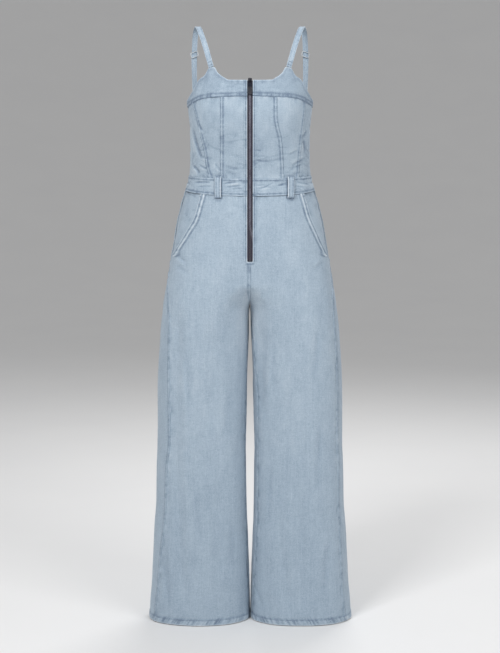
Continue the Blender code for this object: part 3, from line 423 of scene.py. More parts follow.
class Finish:
    # a material whose nodes are added one by one and linked by name
    def __init__(self, name, roughness, metallic=0.0, sheen=0.0):
        self.material = bpy.data.materials.new(name)
        self.material.use_nodes = True
        self.tree = self.material.node_tree
        self.shader = self.tree.nodes["Principled BSDF"]
        self.shader.inputs["Roughness"].default_value = roughness
        self.shader.inputs["Metallic"].default_value = metallic
        self.shader.inputs["Sheen Weight"].default_value = sheen
        self.shader.inputs["Specular IOR Level"].default_value = 0.25 if metallic == 0 else 0.5

    def link(self, value, socket):
        if isinstance(value, bpy.types.NodeSocket):
            self.tree.links.new(value, socket)
        elif isinstance(value, tuple) and socket.type == "RGBA":
            socket.default_value = (*value, 1.0)
        else:
            socket.default_value = value

    def node(self, kind, sockets=(), **settings):
        node = self.tree.nodes.new("ShaderNode" + kind)
        for word, setting in settings.items():
            setattr(node, word, setting)
        for socket, value in dict(sockets).items():
            self.link(value, node.inputs[socket])
        return node

    def math(self, operation, first, second=0.0, third=0.0, clamp=False):
        sockets = {0: first, 1: second, 2: third}
        return self.node("Math", sockets, operation=operation, use_clamp=clamp).outputs[0]

    def sum(self, first, *others):
        for other in others:
            first = self.math("ADD", first, other)
        return first

    def times(self, value, factor, clamp=False):
        return self.math("MULTIPLY", value, factor, clamp=clamp)

    def attribute(self, name, output):
        return self.node("Attribute", attribute_name=name).outputs[output]

    def objectPlace(self):
        return self.node("TexCoord").outputs["Object"]

    def noise(self, place, scale, detail=2.0, roughness=0.5):
        stretched = self.node("VectorMath", {0: place, 1: scale}, operation="MULTIPLY").outputs[0]
        sockets = {"Vector": stretched, "Scale": 1.0, "Detail": detail, "Roughness": roughness}
        return self.node("TexNoise", sockets).outputs["Fac"]

    def blend(self, share, first, second):
        return self.node("Mix", {"Factor": share, "A": first, "B": second}, data_type="RGBA").outputs["Result"]

    def ranged(self, value, low, high, toLow, toHigh):
        sockets = {"Value": value, "From Min": low, "From Max": high, "To Min": toLow, "To Max": toHigh}
        return self.node("MapRange", sockets).outputs["Result"]

    def relief(self, height, distance, strength=0.6):
        bumps = self.node("Bump", {"Distance": distance, "Strength": strength, "Height": height})
        self.link(bumps.outputs["Normal"], self.shader.inputs["Normal"])

    def colour(self, value):
        self.link(value, self.shader.inputs["Base Color"])

    def mottle(self, fine, patches, colours):
        share = self.ranged(self.sum(self.times(fine, 0.6), self.times(patches, 0.4)), 0.35, 0.65, 0.0, 1.0)
        self.colour(self.blend(share, colours["dark"], colours["middle"]))


def clothFinish(name, colours, twill=1.0):
    finish = Finish(name, 0.88, sheen=0.12)
    cloth = finish.attribute("cloth", "Vector")
    uneven = finish.attribute("tone", "Fac")
    # warp slubs run up the cloth and weft slubs across it
    warp = finish.noise(cloth, (900.0, 45.0, 1.0), 3.0, 0.6)
    weft = finish.noise(cloth, (70.0, 1300.0, 1.0), 2.0, 0.5)
    streak = finish.noise(cloth, (190.0, 9.0, 1.0), 3.0, 0.55)
    wash = finish.noise(cloth, (16.0, 9.0, 1.0), 4.0, 0.6)
    blotch = finish.noise(cloth, (60.0, 42.0, 1.0), 3.0, 0.6)
    grain = finish.noise(cloth, (420.0, 380.0, 1.0), 2.0, 0.7)
    parts = finish.node("SeparateXYZ", {0: cloth})
    diagonal = finish.sum(finish.times(parts.outputs["X"], 5200.0), finish.times(parts.outputs["Y"], 3000.0))
    ribs = finish.math("MULTIPLY_ADD", finish.math("SINE", diagonal), 0.5, 0.5)
    for value, amount in ((wash, 0.06), (blotch, 0.06), (streak, 0.055), (warp, 0.13), (weft, 0.10),
                          (grain, 0.20)):
        uneven = finish.sum(uneven, finish.ranged(value, 0.3, 0.7, -amount, amount))
    uneven = finish.sum(uneven, finish.ranged(ribs, 0.0, 1.0, -0.10 * twill, 0.10 * twill))
    darker = finish.times(uneven, -1.0, clamp=True)
    paler = finish.times(uneven, 1.0, clamp=True)
    washed = finish.blend(darker, colours["middle"], colours["dark"])
    finish.colour(finish.blend(paler, washed, colours["pale"]))
    weave = finish.sum(finish.times(ribs, 0.5), finish.times(warp, 0.8), finish.times(grain, 0.7))
    finish.relief(weave, 0.00035)
    finish.link(finish.ranged(warp, 0.3, 0.7, 0.82, 0.95), finish.shader.inputs["Roughness"])
    return finish.material


def threadFinish(name, colours):
    finish = Finish(name, 0.7, sheen=0.10)
    place = finish.objectPlace()
    twist = finish.noise(place, (2600.0, 2600.0, 2600.0), 2.0)
    finish.mottle(twist, finish.noise(place, (60.0, 60.0, 60.0), 2.0), colours)
    finish.relief(twist, 0.00012)
    return finish.material


def metalFinish(name, colours, roughness, metallic=0.85, wearScale=900.0):
    finish = Finish(name, roughness, metallic)
    place = finish.objectPlace()
    wear = finish.noise(place, (wearScale, wearScale, wearScale * 0.6), 4.0, 0.6)
    finish.mottle(wear, finish.noise(place, (90.0, 90.0, 60.0), 3.0), colours)
    worn = finish.ranged(wear, 0.3, 0.7, roughness - 0.08, roughness + 0.14)
    finish.link(worn, finish.shader.inputs["Roughness"])
    finish.relief(wear, 0.00006, 0.4)
    return finish.material


def tapeFinish(name, colours):
    # close woven ribs across the tape
    finish = Finish(name, 0.8, sheen=0.08)
    cloth = finish.attribute("cloth", "Vector")
    parts = finish.node("SeparateXYZ", {0: cloth})
    across = finish.math("SINE", finish.times(parts.outputs["X"], 9000.0))
    up = finish.math("SINE", finish.times(parts.outputs["Y"], 5200.0))
    weave = finish.ranged(finish.times(across, up), -1.0, 1.0, 0.0, 1.0)
    fluff = finish.noise(cloth, (700.0, 300.0, 1.0), 3.0)
    share = finish.sum(finish.times(weave, 0.5), finish.times(fluff, 0.5))
    finish.colour(finish.blend(share, colours["dark"], colours["middle"]))
    finish.relief(weave, 0.00015)
    return finish.material


def paperFinish(name, pale, dark):
    finish = Finish(name, 0.9)
    finish.colour(finish.blend(finish.noise(finish.objectPlace(), (3.0, 3.0, 3.0), 2.0), pale, dark))
    return finish.material


materials = {
    "denim": clothFinish("washed_denim", finishes["denim"]),
    "inside": clothFinish("denim_inside", finishes["inside"], 0.6),
    "thread": threadFinish("tonal_thread", finishes["thread"]),
    "tape": tapeFinish("woven_zip_tape", finishes["tape"]),
    "zipMetal": metalFinish("zip_metal", finishes["zipMetal"], 0.38),
    "tabMetal": metalFinish("tab_metal", finishes["tabMetal"], 0.34),
    "sliderMetal": metalFinish("slider_metal", finishes["sliderMetal"], 0.34),
    "slideMetal": metalFinish("enamelled_slide", finishes["slideMetal"], 0.32, 0.0, 300.0),
    "floor": paperFinish("studio_paper", (0.77, 0.77, 0.775), (0.80, 0.80, 0.80)),
}
print("finishes ready:", len(materials))


def fit(thing, node=None, body="garment"):
    # sets a piece on its body and, where it stands for a solid, in that solid's place
    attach(thing, body)
    if node:
        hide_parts(node)


def meshPiece(name, points, faces, materialNames, faceMaterials=None):
    mesh = bpy.data.meshes.new(name)
    mesh.from_pydata(points.tolist(), [], faces if isinstance(faces, list) else faces.tolist())
    for word in materialNames:
        mesh.materials.append(materials[word])
    if faceMaterials is not None:
        mesh.polygons.foreach_set("material_index", faceMaterials)
    mesh.shade_smooth()
    thing = bpy.data.objects.new(name, mesh)
    bpy.context.scene.collection.objects.link(thing)
    return thing


def curvePiece(name, kind, runs, materialName, **settings):
    # a piece made by Blender's curve tools from runs of points, kept as a mesh
    curve = bpy.data.curves.new(name, "CURVE")
    curve.dimensions = kind
    curve.bevel_resolution = 2
    for word, setting in settings.items():
        setattr(curve, word, setting)
    for run in runs:
        spline = curve.splines.new("POLY")
        spline.points.add(len(run) - 1)
        for point, place in zip(spline.points, run):
            point.co = (*place, *(0.0,) * (3 - len(place)), 1.0)
        spline.use_cyclic_u = kind == "2D"
    holder = bpy.data.objects.new(name, curve)
    bpy.context.scene.collection.objects.link(holder)
    mesh = bpy.data.meshes.new_from_object(holder.evaluated_get(bpy.context.evaluated_depsgraph_get()))
    bpy.data.objects.remove(holder, do_unlink=True)
    mesh.name = name
    mesh.materials.clear()
    mesh.materials.append(materials[materialName])
    mesh.shade_smooth()
    thing = bpy.data.objects.new(name, mesh)
    bpy.context.scene.collection.objects.link(thing)
    return thing


def ringFaces(start, size, rings):
    # faces between rings of points that lie one after the other
    return [(start + ring * size + s, start + ring * size + (s + 1) % size,
             start + (ring + 1) * size + (s + 1) % size, start + (ring + 1) * size + s)
            for ring in range(rings - 1) for s in range(size)]


def setPiece(thing, place, axes, turned=None):
    # moves a piece from its own drawing to its place on the garment
    placing = Matrix([Vector(axis) for axis in axes]).transposed().to_4x4()
    placing.translation = Vector(place)
    thing.data.transform(placing if turned is None else placing @ turned)
    thing.data.update()


# stitches are collected by area and made into one piece for each area at the end
stitch = {"length": 0.0027, "pitch": 0.0034, "radius": 0.00030, "sides": 5, "margin": 0.002,
          "uneven": 0.00012, "sunk": 1.2, "rings": ((-0.34, 0.80, 0.25), (0.0, 1.0, 0.75), (0.34, 0.80, 0.25)),
          "tackPitch": 0.0006, "tackLift": 0.0003, "tackRadius": 0.00036, "tackSlant": 0.12}
threadRuns = {}


def unit(vectors):
    return vectors / np.maximum(np.linalg.norm(vectors, axis=-1, keepdims=True), 1e-9)


def addThreads(area, middles, directions, normals, length, radius):
    # short round stitches with both ends dipping into the cloth
    count = stitch["sides"]
    crosswise = np.cross(normals, directions)
    sunk = normals * radius * stitch["sunk"]
    rings = [middles - directions * (length / 2) - sunk]
    for place, size, rise in stitch["rings"]:
        centre = middles + directions * (place * length) + normals * (rise * radius)
        for k in range(count):
            angle = 2 * math.pi * k / count
            rings.append(centre + (crosswise * math.cos(angle) + normals * math.sin(angle)) * (size * radius))
    rings.append(middles + directions * (length / 2) - sunk)
    last = 3 * count + 1
    faces = ringFaces(1, count, 3)
    for k in range(count):
        after = (k + 1) % count
        faces += [(0, 1 + after, 1 + k), (last, 1 + 2 * count + k, 1 + 2 * count + after)]
    threadRuns.setdefault(area, []).append((np.stack(rings, axis=1), faces))


def stitchLine(area, points, normals, seed):
    # stitches of one length along a line, each a little uneven
    lengths = np.concatenate(([0.0], np.cumsum(np.linalg.norm(np.diff(points, axis=0), axis=1))))
    run = lengths[-1] - 2 * stitch["margin"]
    count = int(run / stitch["pitch"])
    if count < 2:
        return
    at = stitch["margin"] + (np.arange(count) + 0.5) * run / count
    at = at + np.random.default_rng(seed).uniform(-stitch["uneven"], stitch["uneven"], count)

    def read(values, where):
        return np.stack([np.interp(where, lengths, values[:, k]) for k in range(3)], axis=1)

    directions = unit(read(points, at + 0.001) - read(points, at - 0.001))
    upward = read(normals, at)
    upward = unit(upward - directions * np.sum(upward * directions, axis=1, keepdims=True))
    addThreads(area, read(points, at), directions, upward, stitch["length"], stitch["radius"])


def barTack(area, centre, along, normal, length, width):
    # close stitches laid side by side across a strong point
    normal = unit(normal)
    along = unit(along - normal * np.dot(along, normal))
    count = int(length / stitch["tackPitch"])
    offsets = (np.arange(count) + 0.5) / count - 0.5
    middles = centre + normal * stitch["tackLift"] + offsets[:, None] * length * along
    slants = np.cross(normal, along) \
        + along * stitch["tackSlant"] * np.where(np.arange(count) % 2, 1, -1)[:, None]
    addThreads(area, middles, unit(slants), np.tile(normal, (count, 1)), width, stitch["tackRadius"])


def sewThreads():
    for area, runs in threadRuns.items():
        points = []
        faces = []
        start = 0
        for rings, pattern in runs:
            count, size, _ = rings.shape
            points.append(rings.reshape(-1, 3))
            for k in range(count):
                faces.extend([tuple(start + k * size + corner for corner in face) for face in pattern])
            start += count * size
        fit(meshPiece("stitching_" + area, np.concatenate(points), faces, ["thread"]))
    print("threads sewn:", {area: sum(len(run[0]) for run in runs) for area, runs in threadRuns.items()})


def gradedShares(length, spacing, fine=(0.0004, 0.0008, 0.0013, 0.0019, 0.0027, 0.0037, 0.0050, 0.0066,
                                        0.0084, 0.0104)):
    # rows or columns of a panel, closest together near its edges
    low = [0.0] + [step for step in fine if step < length * 0.3]
    high = [length - step for step in low[::-1]]
    count = max(int((high[0] - low[-1]) / spacing), 2)
    return np.array(low + list(np.linspace(low[-1], high[0], count + 1))[1:-1] + high) / length


def panelGrid(levelsUp, shares, turnFrom, turnTo, heightAt):
    # heights and turns of the rows and columns of a panel between two seams
    levelsUp = levelsUp[:, None]
    middleHeight = heightAt(levelsUp, np.full_like(levelsUp, halfTurn / 4))
    start = turnFrom(middleHeight)
    end = turnTo(middleHeight)
    fine = start + (end - start) * np.linspace(0, 1, 65)[None, :]
    across, depth = skinPlace(middleHeight + 0 * fine, fine)
    steps = np.hypot(np.diff(across, axis=1), np.diff(depth, axis=1))
    lengths = np.concatenate((np.zeros((len(fine), 1)), np.cumsum(steps, axis=1)), axis=1)
    turns = np.stack([np.interp(shares * lengths[k, -1], lengths[k], fine[k]) for k in range(len(fine))])
    along = (turns - start) / (end - start)
    height = heightAt(levelsUp, turns)
    for _ in range(6):
        turns = mix(turnFrom(height), turnTo(height), along)
        height = heightAt(levelsUp, turns)
    return height, turns


def runLengths(points, axis):
    steps = np.linalg.norm(np.diff(points, axis=axis), axis=2)
    zero = np.zeros((points.shape[0], 1)) if axis == 1 else np.zeros((1, points.shape[1]))
    return np.concatenate((zero, np.cumsum(steps, axis=axis)), axis=axis)


def leaning(points, edge, axis, inside=6):
    # how far an edge leans from square to the rows or columns that meet it
    if axis == 1:
        points = points.transpose(1, 0, 2)
    tangent = np.gradient(points[edge], axis=0)
    inward = points[inside if edge == 0 else -inside - 1] - points[edge]
    cross = np.linalg.norm(np.cross(tangent, inward), axis=1)
    return cross / np.maximum(np.linalg.norm(tangent, axis=1) * np.linalg.norm(inward, axis=1), 1e-12)


def edgeDistances(points):
    across = runLengths(points, 1)
    up = runLengths(points, 0)
    return across, up, {
        "from": across * np.maximum(leaning(points, 0, 1), 0.9)[:, None],
        "to": (across[:, -1:] - across) * leaning(points, -1, 1)[:, None],
        "low": up * leaning(points, 0, 0)[None, :],
        "top": (up[-1:] - up) * leaning(points, -1, 0)[None, :],
    }


# an edge before anything is sewn: rise and width of its fold, how far it sinks under the next piece, its
# stitch lines, ropy puckers, worn pale rim, dark foot line and shade
plainEdge = {
    "rise": 0.0, "width": 0.008, "turned": True, "sink": 0.0, "sinkWidth": 0.005, "stitches": (), "groove": 0.9,
    "dash": 0.0034, "ridge": (0.0, 1.0, 0.0), "pucker": 0.0, "wave": 0.006, "skew": 0.0, "roping": 0.35,
    "pale": 0.0, "paleWidth": 0.0012, "foot": 0.0, "shade": 0.0, "shadeWidth": 0.003,
}
sewnForm = {
    "ramp": 0.0012, "turn": 0.0005, "turnWidth": 0.0011, "turnStart": 0.0002, "groove": 0.00032,
    "grooveWidth": 0.0006, "grooveTone": 0.0014, "dashLeast": 0.75, "dashUneven": 0.45, "betweenFade": 0.003,
    "fineWave": 0.45, "footPlace": 0.0012, "footWidth": 0.0013, "palePlace": 0.0004, "paleRoping": 0.45,
}


def edgeWork(edge, distance, along, height, seed):
    # relief that sewing gives a strip of cloth along one edge, and its tone, with painted shade in the stitch
    # grooves and next to the edge
    form = sewnForm
    edge = {**plainEdge, **edge}
    rise, width = edge["rise"], edge["width"]
    relief = rise * fade((width + form["ramp"] - distance) / form["ramp"])
    relief -= edge["sink"] * fade(1 - distance / edge["sinkWidth"])
    if edge["turned"]:
        roll = 1 - fade((distance + form["turnStart"]) / form["turnWidth"])
        relief -= (rise + form["turn"]) * roll ** 2
    tone = np.zeros_like(distance)
    dashes = form["dashLeast"] + form["dashUneven"] * lineNoise(along, edge["dash"], seed + 9)
    for place in edge["stitches"]:
        relief -= form["groove"] * bump(distance - place, form["grooveWidth"])
        # painted shade in the stitch grooves, which also stands for the unfaded dye there
        tone -= edge["groove"] * dashes * bump(distance - place, form["grooveTone"])
    place, spread, amount = edge["ridge"]
    tone += amount * bump(distance - place, spread)
    if edge["pucker"]:
        skewed = along + edge["skew"] * distance
        waves = lineNoise(skewed, edge["wave"], seed) \
            + 0.5 * lineNoise(skewed, edge["wave"] * form["fineWave"], seed + 1)
        band = bump(distance - edge.get("puckerAt", width * 0.5), edge.get("reach", width * 0.75))
        relief += edge["pucker"] * waves * band
        tone += edge["roping"] * np.where(waves > 0, form["paleRoping"], 1.0) * waves * band
    tone += edge["pale"] * bump(distance - form["palePlace"], edge["paleWidth"])
    tone -= edge["foot"] * bump(distance - width - form["footPlace"], form["footWidth"])
    tone -= edge["shade"] * (1 - fade(distance / edge["shadeWidth"]))
    if "between" in edge:
        low, high = edge["between"]
        share = fade((height - low) / form["betweenFade"]) * fade((high - height) / form["betweenFade"])
        relief *= share
        tone *= share
    return relief, tone


def workEdges(edges, distances, across, up, height, seed, seedStep):
    # relief and tone of all the sewn edges of one piece
    relief = np.zeros_like(across)
    tone = np.zeros_like(across)
    for k, edge in enumerate(edges):
        along = up if edge["edge"] in ("from", "to") else across
        extra, colouring = edgeWork(edge, distances[edge["edge"]], along, height, seed + seedStep * k)
        relief += extra
        tone += colouring
    return relief, tone


def edgeLine(points, normals, distances, name, place, between=None):
    # the points of a panel at one distance from an edge
    grid = distances[name]
    if name in ("low", "top"):
        grid, points, normals = grid.T, points.transpose(1, 0, 2), normals.transpose(1, 0, 2)
    if name in ("to", "top"):
        grid, points, normals = grid[:, ::-1], points[:, ::-1], normals[:, ::-1]
    found = (grid < place).sum(axis=1)
    rows = np.nonzero((found > 0) & (found < grid.shape[1]))[0]
    k = found[rows]
    share = ((place - grid[rows, k - 1]) / (grid[rows, k] - grid[rows, k - 1]))[:, None]
    line = mix(points[rows, k - 1], points[rows, k], share)
    upward = mix(normals[rows, k - 1], normals[rows, k], share)
    if between:
        kept = (line[:, 2] > between[0]) & (line[:, 2] < between[1])
        line = line[kept]
        upward = upward[kept]
    return line, upward


def stitchEdges(area, edges, points, normals, distances, seed):
    for k, edge in enumerate(edges):
        for place in edge.get("stitches", ()):
            line, upward = edgeLine(points, normals, distances, edge["edge"], place, edge.get("between"))
            if len(line) > 2:
                stitchLine(area, line, upward, seed + k)


# soft waves (size across and up, height), and fine wrinkles, which are strongest below one height; waves,
# creases and wrinkles get painted shade in their hollows and, for waves and creases, painted light on their
# crests
clothKinds = {
    "legs": {
        "waves": ((0.060, 0.210, 0.0014), (0.028, 0.085, 0.0006), (0.012, 0.020, 0.00016)), "waveLightAndShade": 0.03,
        "creaseLightAndShade": 0.12, "wrinkleSize": (0.050, 0.070), "wrinkle": 0.00020, "wrinklePaintedShade": 0.05,
        "strongBelow": -0.40},
    "bodice": {
        "waves": ((0.034, 0.046, 0.0005), (0.013, 0.018, 0.00022)), "waveLightAndShade": 0.10, "creaseLightAndShade": 0.65,
        "wrinkleSize": (0.034, 0.011), "wrinkle": 0.00050, "wrinklePaintedShade": 0.50, "strongBelow": -0.255},
    "band": {
        "waves": ((0.022, 0.014, 0.00028), (0.009, 0.006, 0.00016)), "waveLightAndShade": 0.10, "creaseLightAndShade": 0.90,
        "wrinkleSize": (0.034, 0.0040), "wrinkle": 0.00045, "wrinklePaintedShade": 0.70, "strongBelow": -0.30},
    "strap": {
        "waves": ((0.020, 0.020, 0.0002),), "waveLightAndShade": 0.08, "creaseLightAndShade": 0.4,
        "wrinkleSize": (0.03, 0.03), "wrinkle": 0.0, "wrinklePaintedShade": 0.0, "strongBelow": -0.40},
}
# the first four set the painted shade and highlight of the creases
clothForm = {
    "girth": 0.12, "creaseFull": 0.0012, "creaseHighlight": 0.3, "creaseSide": 0.55, "creaseTurn": 0.5,
    "calm": 0.35, "calmWidth": 0.012, "bend": 0.012, "bendSize": 0.030, "sharpness": 7, "patch": 0.55,
    "patchSize": (0.030, 0.026), "weak": 0.25, "strongFade": 0.06, "waveSeed": 40, "leftSeed": 5,
    "bendSeed": 71, "wrinkleSeed": 83, "patchSeed": 97, "edgeSeedStep": 31, "leastCut": 0.31,
    "apart": (0.731, 0.377, 0.1),  # moves the weave's pattern from piece to piece
}
seeds = iter(range(11, 1000, 7))  # one for each piece of cloth, in the order of sewing


def shellPiece(name, points, normals, thickness, tone, coordinates, side, materialNames=("denim", "inside")):
    # a closed shell: the outer face, the inner face and the cut edges between them
    rows, columns = tone.shape
    count = rows * columns
    inner = points - normals * (thickness[..., None] if np.ndim(thickness) else thickness)
    index = np.arange(count).reshape(rows, columns)
    quads = np.stack([index[:-1, :-1], index[:-1, 1:], index[1:, 1:], index[1:, :-1]], axis=-1).reshape(-1, 4)
    ring = np.concatenate([index[0, :-1], index[:-1, -1], index[-1, :0:-1], index[:0:-1, 0]])
    after = np.roll(ring, -1)
    rim = np.stack([ring, ring + count, after + count, after], axis=-1)
    faces = np.concatenate([quads, quads[:, ::-1] + count, rim])
    if side < 0:
        faces = faces[:, ::-1]
    which = np.zeros(len(faces), int)
    which[len(quads):2 * len(quads)] = 1
    both = np.concatenate([points.reshape(-1, 3), inner.reshape(-1, 3)])
    thing = meshPiece(name, both, faces, materialNames, which)
    values = np.concatenate([coordinates.reshape(-1, 3)] * 2)
    thing.data.attributes.new("cloth", "FLOAT_VECTOR", "POINT").data.foreach_set("vector", values.ravel())
    values = np.concatenate([tone.ravel(), tone.ravel() * 0.4])
    thing.data.attributes.new("tone", "FLOAT", "POINT").data.foreach_set("value", values)
    return thing


def clothCoordinates(across, up, seed, side=1):
    x, y, z = (seed * step for step in clothForm["apart"])
    return np.stack([across * side + x, up + y, np.full_like(across, z)], axis=-1)


def grainStart(grid, across, grain):
    # the run across each row to the upright grain line, a fixed distance from the middle of the body
    height, turn = grid
    line = turnAt(height[:, :1], np.full_like(height[:, :1], grain))
    line = np.where(turn.mean(axis=1, keepdims=True) > quarterTurn, halfTurn - line, line)
    return np.array([[np.interp(line[k, 0], turn[k], across[k])] for k in range(len(turn))])


def sewPanel(node, side, grid, lift, thickness, edges, area, kind, creases=None, allowance=0.006,
             grain=None, extraTone=None):
    # one cut piece of cloth with its sewn edges, creases and stitches
    form = clothForm
    cloth = clothKinds[kind]
    height, turn = grid
    seed = next(seeds)
    base, normals = clothPlace(side, height, turn, lift + 0 * height)
    across, up, distances = edgeDistances(base)
    relief = creaseRelief(base, normals, creases or {})
    # painted shade in the crease troughs and painted highlight on their ridges, stronger where the cloth faces
    # the front
    tone = np.clip(relief / form["creaseFull"], -1, form["creaseHighlight"]) * cloth["creaseLightAndShade"] \
        * mix(form["creaseSide"], 1.0, fade(-normals[..., 1] / form["creaseTurn"]))
    girth = turn * form["girth"]
    for k, (acrossSize, upSize, amount) in enumerate(cloth["waves"]):
        waveSeed = form["waveSeed"] + k + (form["leftSeed"] if side < 0 else 0)
        wave = fieldNoise(girth, height, acrossSize, upSize, waveSeed)
        calm = fade(np.minimum(distances["from"], distances["to"]) / (4 * amount + form["calmWidth"]))
        relief += amount * wave * mix(form["calm"], 1.0, calm)
        # painted light and shade: the colour follows the waves, paler on their crests and darker in their
        # hollows
        tone += cloth["waveLightAndShade"] * wave
    bend = form["bend"] * fieldNoise(girth, height, form["bendSize"], form["bendSize"], form["bendSeed"] + side)
    lines = fieldNoise(girth, height + bend, *cloth["wrinkleSize"], form["wrinkleSeed"] + side)
    lines = (1 - np.abs(lines)) ** form["sharpness"]
    lines *= fade(form["patch"] + fieldNoise(girth, height, *form["patchSize"], form["patchSeed"] + side))
    strong = fade((cloth["strongBelow"] + form["strongFade"] / 2 - height) / form["strongFade"])
    lines *= mix(form["weak"], 1.0, strong)
    extra, colouring = workEdges(edges, distances, across, up, height, seed, form["edgeSeedStep"])
    relief += extra - cloth["wrinkle"] * lines
    # painted shade along the fine wrinkle lines
    tone += colouring - cloth["wrinklePaintedShade"] * lines
    points = base + normals * relief[..., None]
    stitchEdges(area, edges, points, normals, distances, seed)
    if extraTone:
        tone += extraTone(points)
    grained = across - grainStart(grid, across, grain) if grain else across
    thing = shellPiece("cloth_" + node, points, normals, thickness, np.clip(tone, -1, 1),
                       clothCoordinates(grained, height if grain else up, seed, side), side)
    fit(thing, node)
    # the sheet's flat size is the longest run across and up, and its cut the shaped piece between them
    width = float(across[:, -1].max()) + 2 * allowance
    length = float(up[-1].max()) + 2 * allowance
    cut = float(across[:, -1].mean() + 2 * allowance) * float(up[-1].mean() + 2 * allowance)
    cut = min(max(cut, form["leastCut"] * width * length), width * length)
    return {"points": points, "normals": normals}


zipHalf = 0.0063
zipEdge = {"edge": "from", "rise": 0.0006, "width": 0.0075, "stitches": (0.0037,), "pale": 0.48,
           "paleWidth": 0.0015, "pucker": 0.00028, "wave": 0.007, "roping": 0.30, "groove": 1.25, "foot": 0.25}
underlap = 0.003  # how far panels run on under the waistband and the top band


def zipTurn(height):
    return turnAt(height, zipHalf)


def uprightTurn(rows, word, shift):
    return lambda height: turnAt(height, seamAt(rows, word, height) + shift)


def sideTurn(shift):
    return lambda height: quarterTurn + shift + 0 * height


def bodiceHeight(level, turn):
    return mix(waistSeam("waistTop", turn) - underlap, bandSeamHeight(turn) + underlap, level)


def bandHeight(level, turn):
    return mix(bandSeamHeight(turn) - bandSettings["below"], topEdgeHeight(turn), level)


def backHeight(level, turn):
    return mix(waistSeam("waistTop", turn) - underlap, backTopHeight(turn), level)


bodiceSettings = {
    "thickness": 0.0009, "over": 0.0040, "under": 0.0010, "rowLength": 0.19, "rows": 0.0024, "columns": 0.0022,
    "fold": {"edge": "to", "rise": 0.0010, "width": 0.0085, "stitches": (0.0012, 0.0078), "pale": 0.15,
             "pucker": 0.00034, "wave": 0.0040, "roping": 0.26, "foot": 0.20, "groove": 1.05,
             "ridge": (0.0045, 0.0014, 0.10)},
    "covered": {"edge": "from", "sink": 0.0004, "shade": 0.55, "turned": False},
    "sideSeam": {"edge": "to", "sink": 0.0006, "sinkWidth": 0.004, "shade": 0.35, "shadeWidth": 0.002,
                 "pucker": 0.0002, "turned": False},
    "hidden": {"sink": 0.0008, "sinkWidth": 0.006, "turned": False, "shade": 0.45, "shadeWidth": 0.006,
               "pucker": 0.00060, "wave": 0.0085, "roping": 0.38, "puckerAt": 0.006, "reach": 0.010},
}
bodiceRows = gradedShares(bodiceSettings["rowLength"], bodiceSettings["rows"])
for side, word in sides:
    over, under = bodiceSettings["over"], -bodiceSettings["under"]
    fold, covered = bodiceSettings["fold"], bodiceSettings["covered"]
    hidden = [dict(bodiceSettings["hidden"], edge=edge) for edge in ("low", "top")]
    for piece, turnFrom, turnTo, width, edges in (
            ("centre_front_", zipTurn, uprightTurn(princessSeams, word, over), 0.062, [zipEdge, fold]),
            ("side_front_", uprightTurn(princessSeams, word, under), uprightTurn(sideSeams, word, over), 0.068,
             [covered, fold]),
            ("side_panel_", uprightTurn(sideSeams, word, under), sideTurn(-seamGap), 0.085,
             [covered, bodiceSettings["sideSeam"]])):
        grid = panelGrid(bodiceRows, gradedShares(width, bodiceSettings["columns"]), turnFrom, turnTo,
                         bodiceHeight)
        sewPanel(piece + word, side, grid, 0.0, bodiceSettings["thickness"], edges + hidden, "bodice", "bodice",
                 bodiceCreases)

bandSettings = {
    "lift": 0.0010, "thickness": 0.0010, "below": 0.0042, "shade": -0.16, "size": (0.20, 0.040),
    "columns": 0.0021, "rows": 0.0018,
    "edges": [
        zipEdge,
        {"edge": "low", "rise": 0.0004, "width": 0.0092, "stitches": (0.0012, 0.0083), "pucker": 0.00030,
         "wave": 0.0034, "roping": 0.42, "groove": 1.15, "foot": 0.20, "ridge": (0.0048, 0.0030, -0.22)},
        {"edge": "top", "rise": 0.0003, "width": 0.0070, "stitches": (0.0052,), "pale": 0.45, "pucker": 0.00020,
         "wave": 0.0070, "roping": 0.25, "groove": 0.25, "foot": 0.10},
        {"edge": "to", "sink": 0.0006, "sinkWidth": 0.004, "shade": 0.1, "shadeWidth": 0.002},
    ],
}


def bandShade(points):
    return np.full(points.shape[:-1], bandSettings["shade"])


for side, word in sides:
    width, length = bandSettings["size"]
    grid = panelGrid(gradedShares(length, bandSettings["rows"]), gradedShares(width, bandSettings["columns"]),
                     zipTurn, sideTurn(-seamGap), bandHeight)
    sewPanel("top_band_" + word, side, grid, bandSettings["lift"], bandSettings["thickness"],
             bandSettings["edges"], "bodice", "band", extraTone=bandShade)

backSeam = {"sink": 0.0004, "sinkWidth": 0.004, "shade": 0.3, "shadeWidth": 0.002, "turned": False,
            "pucker": 0.0002}
backSettings = {
    "thickness": 0.0010, "size": (0.40, 0.19), "spacing": 0.0030,
    "edges": [
        {"edge": "top", "rise": 0.0005, "width": 0.0120, "stitches": (0.0014, 0.0105), "pale": 0.45,
         "pucker": 0.00024, "wave": 0.0060, "roping": 0.25, "foot": 0.25},
        dict(backSeam, edge="from"), dict(backSeam, edge="to"), dict(bodiceSettings["hidden"], edge="low"),
    ],
}
width, length = backSettings["size"]
grid = panelGrid(gradedShares(length, backSettings["spacing"]), gradedShares(width, backSettings["spacing"]),
                 sideTurn(seamGap), sideTurn(halfTurn - seamGap), backHeight)
sewPanel("back_bodice", 1, grid, 0.0, backSettings["thickness"], backSettings["edges"], "bodice", "bodice",
         bodiceCreases)
print("bustier sewn")


def waistbandHeight(level, turn):
    return mix(waistSeam("waistBottom", turn) - 0.002, waistSeam("waistTop", turn) + 0.002, level)


loopPlaces = (
    ("belt_loop_front_left", -0.0740, -1), ("belt_loop_front_right", 0.0946, -1),
    ("belt_loop_back_left", -0.0860, 1), ("belt_loop_back_centre", 0.0000, 1),
    ("belt_loop_back_right", 0.0860, 1),
)
loopShadowLine = {"half": 0.0075, "low": -0.4030, "high": -0.3480, "under": -0.4040, "strength": 0.95}


